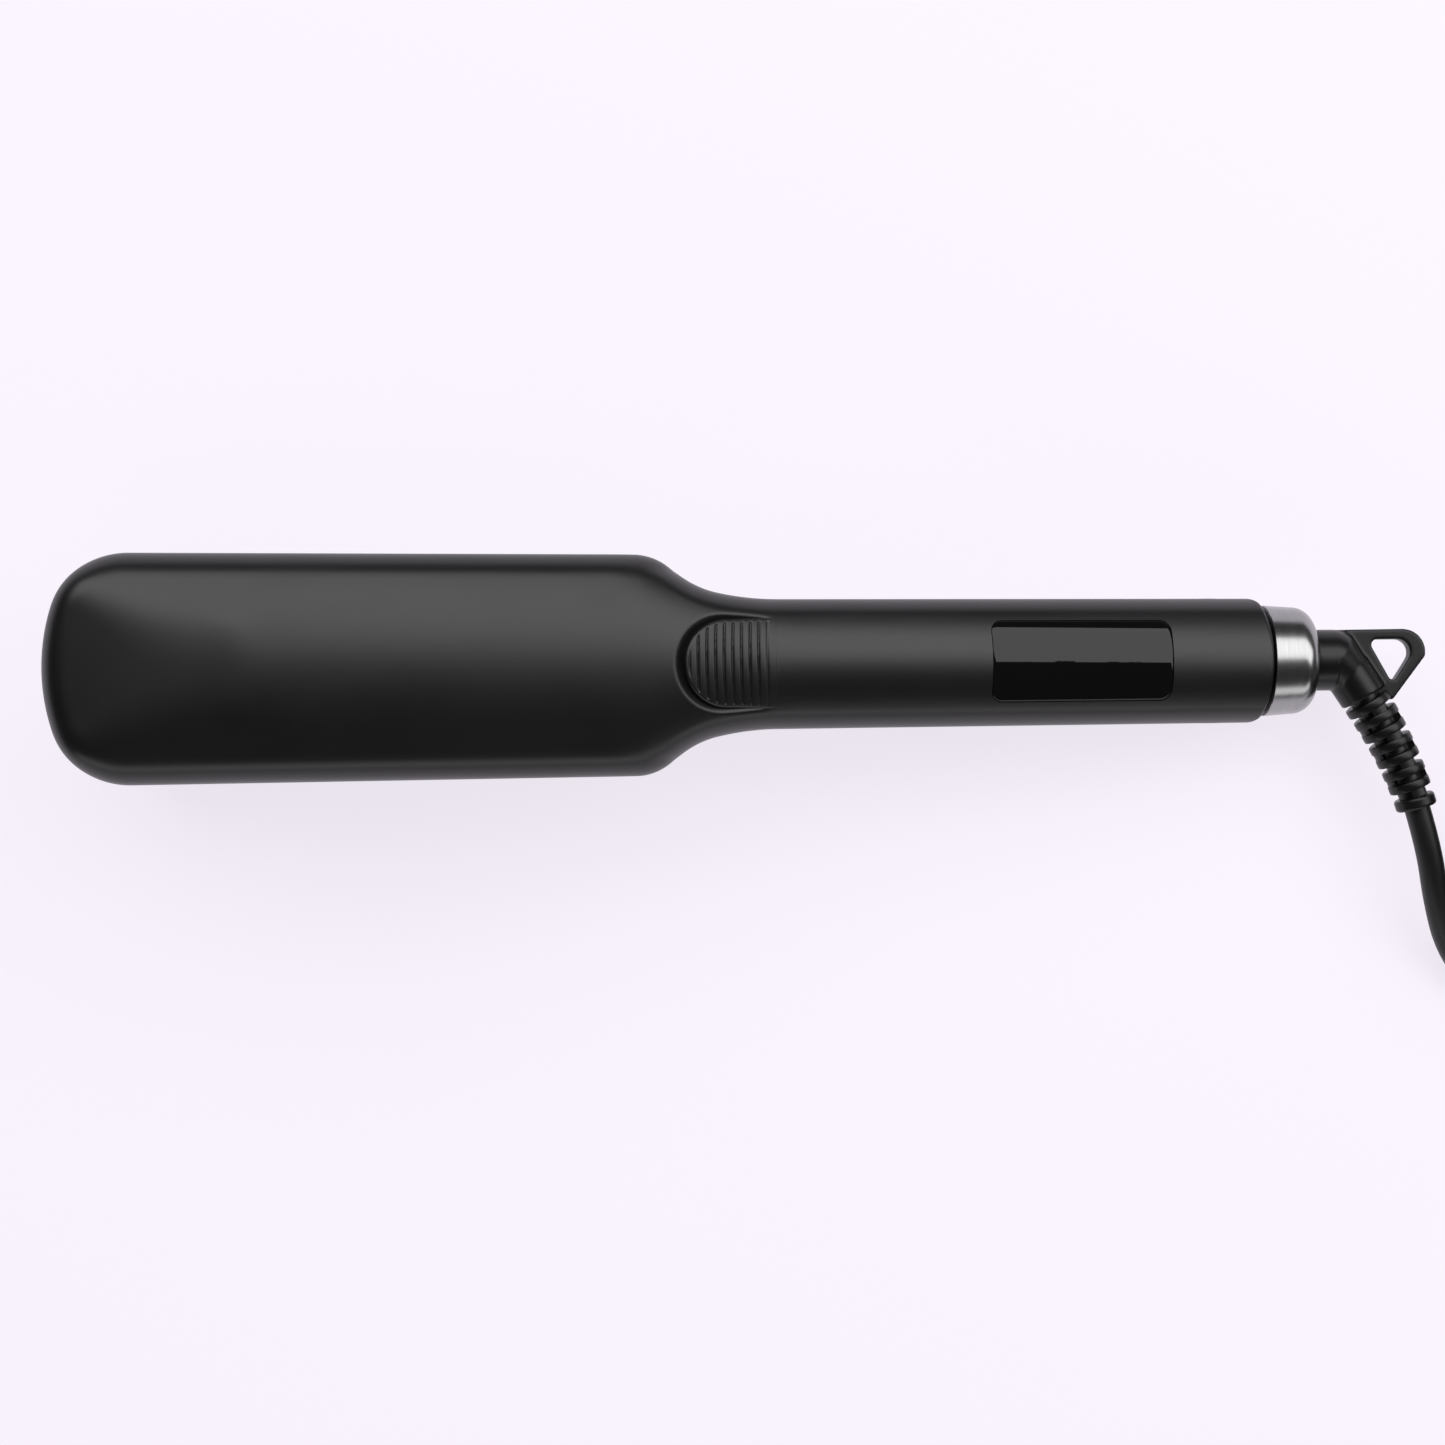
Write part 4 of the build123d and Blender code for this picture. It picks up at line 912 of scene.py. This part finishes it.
RIB_PITCH, RIB_COUNT, RIB_FIRST, RIB_TAPER = 3.7 * MM, 7, 3.0 * MM, -0.13
RIB_OUTER, RIB_CORE, RIB_WIDE, RIB_ROUND = 5.65 * MM, 3.4 * MM, 2.25 * MM, 0.4 * MM
WEB_HALF, WEB_SINK, WEB_LAP, WEB_STEPS = 1.9 * MM, 0.35 * MM, 0.3 * MM, 6
CORE_RADIUS, CORE_TAPER = 3.75 * MM, 0.4 * MM
COLLAR_THICK, COLLAR_RADIUS, COLLAR_ROUND = 2.8 * MM, 4.9 * MM, 0.35 * MM


def relief_rib():
    """One rib of the strain relief with the two webs that join it to the next."""
    half = RIB_WIDE / 2
    rise = [(half, RIB_CORE), (half, RIB_OUTER - RIB_ROUND),
            (half - 0.3 * RIB_ROUND, RIB_OUTER - 0.3 * RIB_ROUND), (half - RIB_ROUND, RIB_OUTER)]
    ring = [(-x, radius) for x, radius in rise] + rise[::-1] + [(-half, RIB_CORE)]
    parts = [turned("ring", ring, 48)]
    wide = 2 * math.asin(WEB_HALF / RIB_OUTER)
    angles = [(k / WEB_STEPS - 0.5) * wide for k in range(WEB_STEPS + 1)]
    section = [(RIB_OUTER - WEB_SINK, a) for a in angles]
    section += [(RIB_CORE, a) for a in reversed(angles)]
    for sign in (1, -1):
        points = [(x, sign * radius * math.cos(a), radius * math.sin(a))
                  for x in (half - WEB_LAP, RIB_PITCH - half + WEB_LAP) for radius, a in section]
        parts.append(mesh_object("web", points, capped_faces(2, len(section))))
    rib = joined("relief_rib", parts)
    rib.data.transform(Matrix.Rotation(-math.pi / 2, 4, "Y"))
    return clean(rib, 40.0)


def strain_relief():
    """The ribbed sleeve: staggered windows between the ribs, over a core, with an end collar."""
    line = relief_line()
    length = sum((b - a).length for a, b in zip(line, line[1:]))
    first, last, end = (int(RELIEF_STEPS * reach / length) for reach in (
        RIB_FIRST, RIB_FIRST + RIB_PITCH * (RIB_COUNT - 1), length - COLLAR_THICK))
    rib = relief_rib()
    path = curve_object("relief_path", "POLY", line[first : last + 1])
    values = {"Rib": rib, "Count": RIB_COUNT, "Growth": RIB_TAPER / RIB_COUNT}
    values["Finish"] = FINISHES["boot_rubber"]
    sleeve = grown("sleeve", path, *rib_tree(), values)
    bpy.data.objects.remove(rib)
    radii = [CORE_RADIUS - CORE_TAPER * k / RELIEF_STEPS for k in range(RELIEF_STEPS + 1)]
    core = tube_along("core", line, radii)
    count = len(line) - end - 1
    falls = [max(0, 1 - min(k, count - k) / 1.6) for k in range(count + 1)]
    radii = [COLLAR_RADIUS - COLLAR_ROUND * fall for fall in falls]
    collar = tube_along("collar", line[end:], radii, 56)
    body = joined("strain_relief", [sleeve, core, collar])
    body.data.transform(HINGED)
    return clean(body, 40.0, 1e-7)


# ---- the cord, its coil and its tie; its points are in millimetres
CORD_RADIUS = 3.1
ROUTE = [(169.6, -35.3, 16.1), (172.75, -46.3, 16.1), (175.6, -60.0, 12.6), (180.6, -73.0, 6.8),
         (190.4, -83.8, 3.5), (205.0, -90.0, 3.1), (221.0, -91.7, 3.1)]
TAIL = [(204.8, -22.6, 21.9), (198.4, -37.0, 24.9), (199.6, -51.6, 28.2), (207.0, -65.0, 30.4),
        (221.0, -72.4, 31.7), (237.0, -72.6, 31.9)]
COIL_CENTRE = (236.0, -48.0)
COIL_ENTRY = (-93.0, 44.2, CORD_RADIUS)  # the angle, reach and height of the point before the coil
COIL_RADII = (39.85, 33.6, 27.35)
COIL_PITCH, COIL_STEPS, TURNS = 6.25, 16, 12
FIRST_ANGLE, LAST_ANGLE = -65.0, 128.0
CLIMB, SHIFT = (-165.0, -112.0), (-112.0, -65.0)  # where a turn goes up, and to the next ring


def coil_place(angle, reach, height):
    """A point about the coil's middle."""
    x, y = COIL_CENTRE
    turn = math.radians(angle)
    return (x + reach * math.cos(turn), y + reach * math.sin(turn), height)


def coil_seat(turn):
    """The radius and height of a turn, in flat spirals that go inwards and outwards by turns."""
    rings = len(COIL_RADII)
    layer, place = min(turn // rings, TURNS // rings - 1), turn % rings
    return COIL_RADII[place if layer % 2 == 0 else rings - 1 - place], COIL_PITCH * layer


def coil_points():
    """The coiled length: flat spirals laid on each other, with a low hump over the strap."""
    # the line runs inside its points by this share
    shrink = 0.75 + 0.25 * math.cos(2 * math.pi / COIL_STEPS)
    points = []
    for number in range(TURNS * COIL_STEPS + 1):
        angle = FIRST_ANGLE + 360.0 * number / COIL_STEPS
        if angle > 360.0 * (TURNS - 1) + LAST_ANGLE:
            break
        turn = min(number // COIL_STEPS, TURNS - 1)
        local = FIRST_ANGLE + 360.0 * (number / COIL_STEPS - turn) - 360.0
        radius, height = coil_seat(turn)
        next_radius, next_height = coil_seat(min(turn + 1, TURNS))
        radius += (next_radius - radius) * float(smooth_step(*SHIFT, local))
        height += (next_height - height) * float(smooth_step(*CLIMB, local))
        over_tie = math.exp(-((((angle - 90.0) + 180.0) % 360.0 - 180.0) / 15.0) ** 2)
        points.append(coil_place(angle, radius / shrink, CORD_RADIUS + height + 1.3 * over_tie))
    return points


def cord_curve():
    """The whole cord as one smooth line, from the strain relief to the plug."""
    points = ROUTE + [coil_place(*COIL_ENTRY)] + coil_points() + TAIL
    obj = curve_object("mains_cord", "NURBS", [[value * MM for value in place] for place in points])
    obj.data.bevel_depth = CORD_RADIUS * MM
    obj.data.bevel_resolution = 5
    obj.data.resolution_u = 6
    obj.data.use_fill_caps = True
    spline = obj.data.splines[0]
    spline.order_u = 3
    spline.use_endpoint_u = True
    spline.use_smooth = True
    return obj


STRAP_NEAR, STRAP_FAR = 22.325, 44.275  # in mm from the coil's middle
STRAP_BOTTOM, STRAP_TOP, STRAP_HALF, STRAP_THICK = 0.1 * MM, 26.3 * MM, 5 * MM, 1.0 * MM


def coil_strap():
    """The rubber strap round one side of the coil, with raised edges."""
    near, far = (COIL_CENTRE[1] + STRAP_NEAR) * MM, (COIL_CENTRE[1] + STRAP_FAR) * MM
    corners = [(near, STRAP_BOTTOM), (far, STRAP_BOTTOM), (far, STRAP_TOP), (near, STRAP_TOP)]
    rounds = [0.9 * MM, 0.9 * MM, 2.4 * MM, 2.4 * MM]
    path = loop_round([Vector((0, y, z)) for y, z in corners], rounds)
    middle = Vector((0, (near + far) / 2, (STRAP_BOTTOM + STRAP_TOP) / 2))
    rise = [(0.72, 0.3), (0.8, 0.0), (0.94, 0.0), (1.0, 0.25), (1.0, 0.9)]
    section = [(-across, depth) for across, depth in rise[3::-1]] + rise + [(-1.0, 0.9)]
    count = len(path)
    points = []
    for k, here in enumerate(path):
        along = (path[(k + 1) % count] - path[k - 1]).normalized()
        inward = Vector((0, -along.z, along.y))
        if inward.dot(middle - here) < 0:
            inward = -inward
        for across, depth in section:
            place = here + inward * (depth * STRAP_THICK)
            points.append((COIL_CENTRE[0] * MM + across * STRAP_HALF, place.y, place.z))
    faces = grid_faces(count, len(section), closed_rows=True, closed_columns=True)
    return clean(mesh_object("coil_strap", points, faces), 35.0)


# ---- the plug
PLUG_END, PLUG_Y, PLUG_Z = (value * MM for value in TAIL[-1])
PIN_RADIUS, PIN_LENGTH, PIN_APART, PIN_DOME = 2.0 * MM, 19.0 * MM, 18.6 * MM, 1.0 * MM


def plug_moulding():
    """The flat two-pin plug: wide face, finger waist and ribbed cord sleeve."""
    # each station: its distance from the cord's end, half its width and half its height, in mm
    stations = [(0, 4.15, 4.15), (0.5, 4.7, 4.6), (2.2, 4.8, 4.7), (2.6, 4.3, 4.3), (3.6, 4.3, 4.3),
                (4, 4.95, 4.8), (5.8, 5.1, 4.9), (6.2, 4.6, 4.5), (7.2, 4.6, 4.5), (7.6, 5.4, 5.2),
                (10, 6, 5.5), (13, 7.6, 5.9), (16, 8.8, 6.2), (20, 9.3, 6.4), (24, 10.2, 6.55),
                (28, 12.8, 6.7), (32, 15.8, 6.8), (35, 17.2, 6.8), (37.2, 17.4, 6.75),
                (37.9, 16.9, 6.3), (38, 15.9, 5.4)]
    sides = 64
    points = []
    for x, half, tall in stations:
        power = 2 / (2 + 3 * float(smooth_step(8, 26, x)))  # from a round section to a squarer one
        for c, s in circle(sides):
            across, up = (math.copysign(abs(share) ** power, share) for share in (c, s))
            points.append((PLUG_END + x * MM, PLUG_Y + half * MM * across, PLUG_Z + tall * MM * up))
    return clean(mesh_object("plug_moulding", points, capped_faces(len(stations), sides)), 42.0)


def plug_contacts():
    """Two round pins with domed ends and insulating sleeves at their roots."""
    pins, sleeves = [], []
    shank = PIN_LENGTH - PIN_DOME
    pin = [(0.0, 0.0), (0.0, PIN_RADIUS), (shank, PIN_RADIUS)]
    pin += [(shank + PIN_DOME * math.sin(a), PIN_RADIUS - PIN_DOME * (1 - math.cos(a)))
            for a in np.linspace(0.2, math.pi / 2, 7)]
    pin.append((PIN_LENGTH, 0.0))
    wide = PIN_RADIUS + 0.07 * MM
    sleeve = [(-0.5 * MM, PIN_RADIUS), (-0.5 * MM, wide), (9.4 * MM, wide),
              (9.5 * MM, PIN_RADIUS - 0.05 * MM)]
    for side in (-1, 1):
        place = Matrix.Translation((PLUG_END + 38 * MM, PLUG_Y + side * PIN_APART / 2, PLUG_Z))
        pins.append(turned("pin", pin, 40, place))
        sleeves.append(turned("sleeve", sleeve, 40, place))
    sets = (joined("plug_contacts", pins), joined("pin_sleeves", sleeves))
    return [clean(piece, 40.0, 1e-7) for piece in sets]


# ---- put everything in place


def place_piece(piece, finish, body, *nodes):
    """Give a piece its finish, the body that it rides on and the nodes that it stands for."""
    dress(piece, finish)
    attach(piece, body)
    if nodes:
        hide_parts(*nodes)
    return piece


def coil_spring(name, node, body, joint, up, travel):
    """A node's coils as a piece with a mesh of its own, on the node's body and with the node
    hidden; the joint is not used.
    """
    source = frame["nodes"][node].data
    points = [tuple(vertex.co) for vertex in source.vertices]
    faces = [tuple(face.vertices) for face in source.polygons]
    piece = clean(mesh_object(name, points, faces), 40.0, 1e-7)
    place_piece(piece, SLOTS[node], body, node)
    heights = [up.dot(vertex.co) for vertex in piece.data.vertices]
    seat = min(heights)
    tuple(up * seat)
    1 - travel / (max(heights) - seat)
    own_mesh(piece)


for side in ARMS:
    place_piece(arm_shell(side), "soft_touch_black", side + "_arm", side + "_shell")
for side in ARMS:
    place_piece(thumb_pad(side), "pad_rubber", side + "_arm", side + "_thumb_pad")
place_piece(display_window(), "window_gloss", "upper_arm", "display_window")
place_piece(end_cup(), "satin_steel", "lower_arm", "end_cup")
boot = place_piece(boot_body(), "boot_rubber", "swivel", "cord_boot")
relief = place_piece(strain_relief(), "boot_rubber", "swivel", "cord_boot")
cord = place_piece(cord_curve(), "cord_rubber", "swivel", "cord", "cord_coil", "cord_tail")
strap = place_piece(coil_strap(), "pad_rubber", "swivel", "cord_tie")
plug = place_piece(plug_moulding(), "plug_black", "swivel", "plug_body")
contacts, sleeves = plug_contacts()
place_piece(contacts, "plug_nickel", "swivel", "plug_pins")
place_piece(sleeves, "plug_black", "swivel")

UP, UPPER_ARM_DOWN = Vector((0, 0, 1)), Vector((-math.sin(OPEN), 0, -math.cos(OPEN)))
FLOAT_TRAVEL, HINGE_TRAVEL = 1.1 * MM, 4.05 * MM
for side, up in (("lower", UP), ("upper", UPPER_ARM_DOWN)):
    names = [side + end for end in ("_float_coils", "_float_springs", "_arm", "_plate_float")]
    coil_spring(*names, up, FLOAT_TRAVEL)
coil_spring("hinge_coils", "hinge_spring", "lower_arm", "arm_hinge", UP, HINGE_TRAVEL)


# ---- floor, light and camera
FLOOR_COLOUR = (0.956, 0.905, 0.991)
FLOOR_HALF, FLOOR_HEIGHT = 30.0, -0.0002
FLOOR_GLOW, FLOOR_VEIL = 0.825, 0.22


def pale_floor():
    """Plain paint for the light it returns; for what is seen, an even glow with a faint shadow."""
    paint = Paint("pale_floor")
    ray = paint.node("ShaderNodeLightPath", output="Is Camera Ray")
    seen = ray + ray.other("Is Glossy Ray") + ray.other("Is Transmission Ray")
    colour = FLOOR_COLOUR + (1.0,)
    faint = tuple(FLOOR_VEIL * c for c in FLOOR_COLOUR) + (1.0,)
    glow = paint.node("ShaderNodeEmission", inputs={"Color": colour, "Strength": FLOOR_GLOW})
    plain = paint.node("ShaderNodeBsdfDiffuse", inputs={"Color": colour})
    veil = paint.node("ShaderNodeBsdfDiffuse", inputs={"Color": faint})
    both = paint.node("ShaderNodeAddShader", inputs={0: veil, 1: glow})
    last = paint.node("ShaderNodeMixShader", inputs={0: seen, 1: plain, 2: both})
    paint.feed(paint.nodes["Material Output"].inputs["Surface"], last)
    return paint.material


corners = ((-1, -1), (1, -1), (1, 1), (-1, 1))
corners = [(x * FLOOR_HALF, y * FLOOR_HALF, FLOOR_HEIGHT) for x, y in corners]
ground = mesh_object("ground", corners, [(0, 1, 2, 3)])
ground.data.materials.append(pale_floor())


def soft_light(name, place, target, width, height, radiance):
    """A plain panel light of even brightness."""
    data = bpy.data.lights.new(name, "AREA")
    data.shape = "RECTANGLE"
    data.size, data.size_y = width, height
    data.energy = radiance * math.pi * width * height
    light = in_scene(name, data)
    light.location = place
    light.rotation_euler = (Vector(target) - Vector(place)).to_track_quat("-Z", "Y").to_euler()


soft_light("panel_behind", (0.5, 0.63, 1.2), (0.3, 0.0, 0.0), 3.6, 1.05, 2.75)
soft_light("panel_front", (0.1, -1.3, 0.5), (0.1, 0.0, 0.05), 3.0, 0.42, 1.7)

world = scene.world = bpy.data.worlds.new("room")
world.use_nodes = True
room = world.node_tree.nodes["Background"].inputs
room["Color"].default_value = (0.95, 0.95, 1.0, 1.0)
room["Strength"].default_value = 0.045

camera = scene.camera = in_scene("camera", bpy.data.cameras.new("camera"))
camera.data.lens = 49.36
camera.data.sensor_width = 36.0
camera.location = (-0.0006, -0.0134, 0.5035)
camera.rotation_euler = (0.0, 0.0, math.radians(-0.75))
scene.view_settings.view_transform = "Standard"
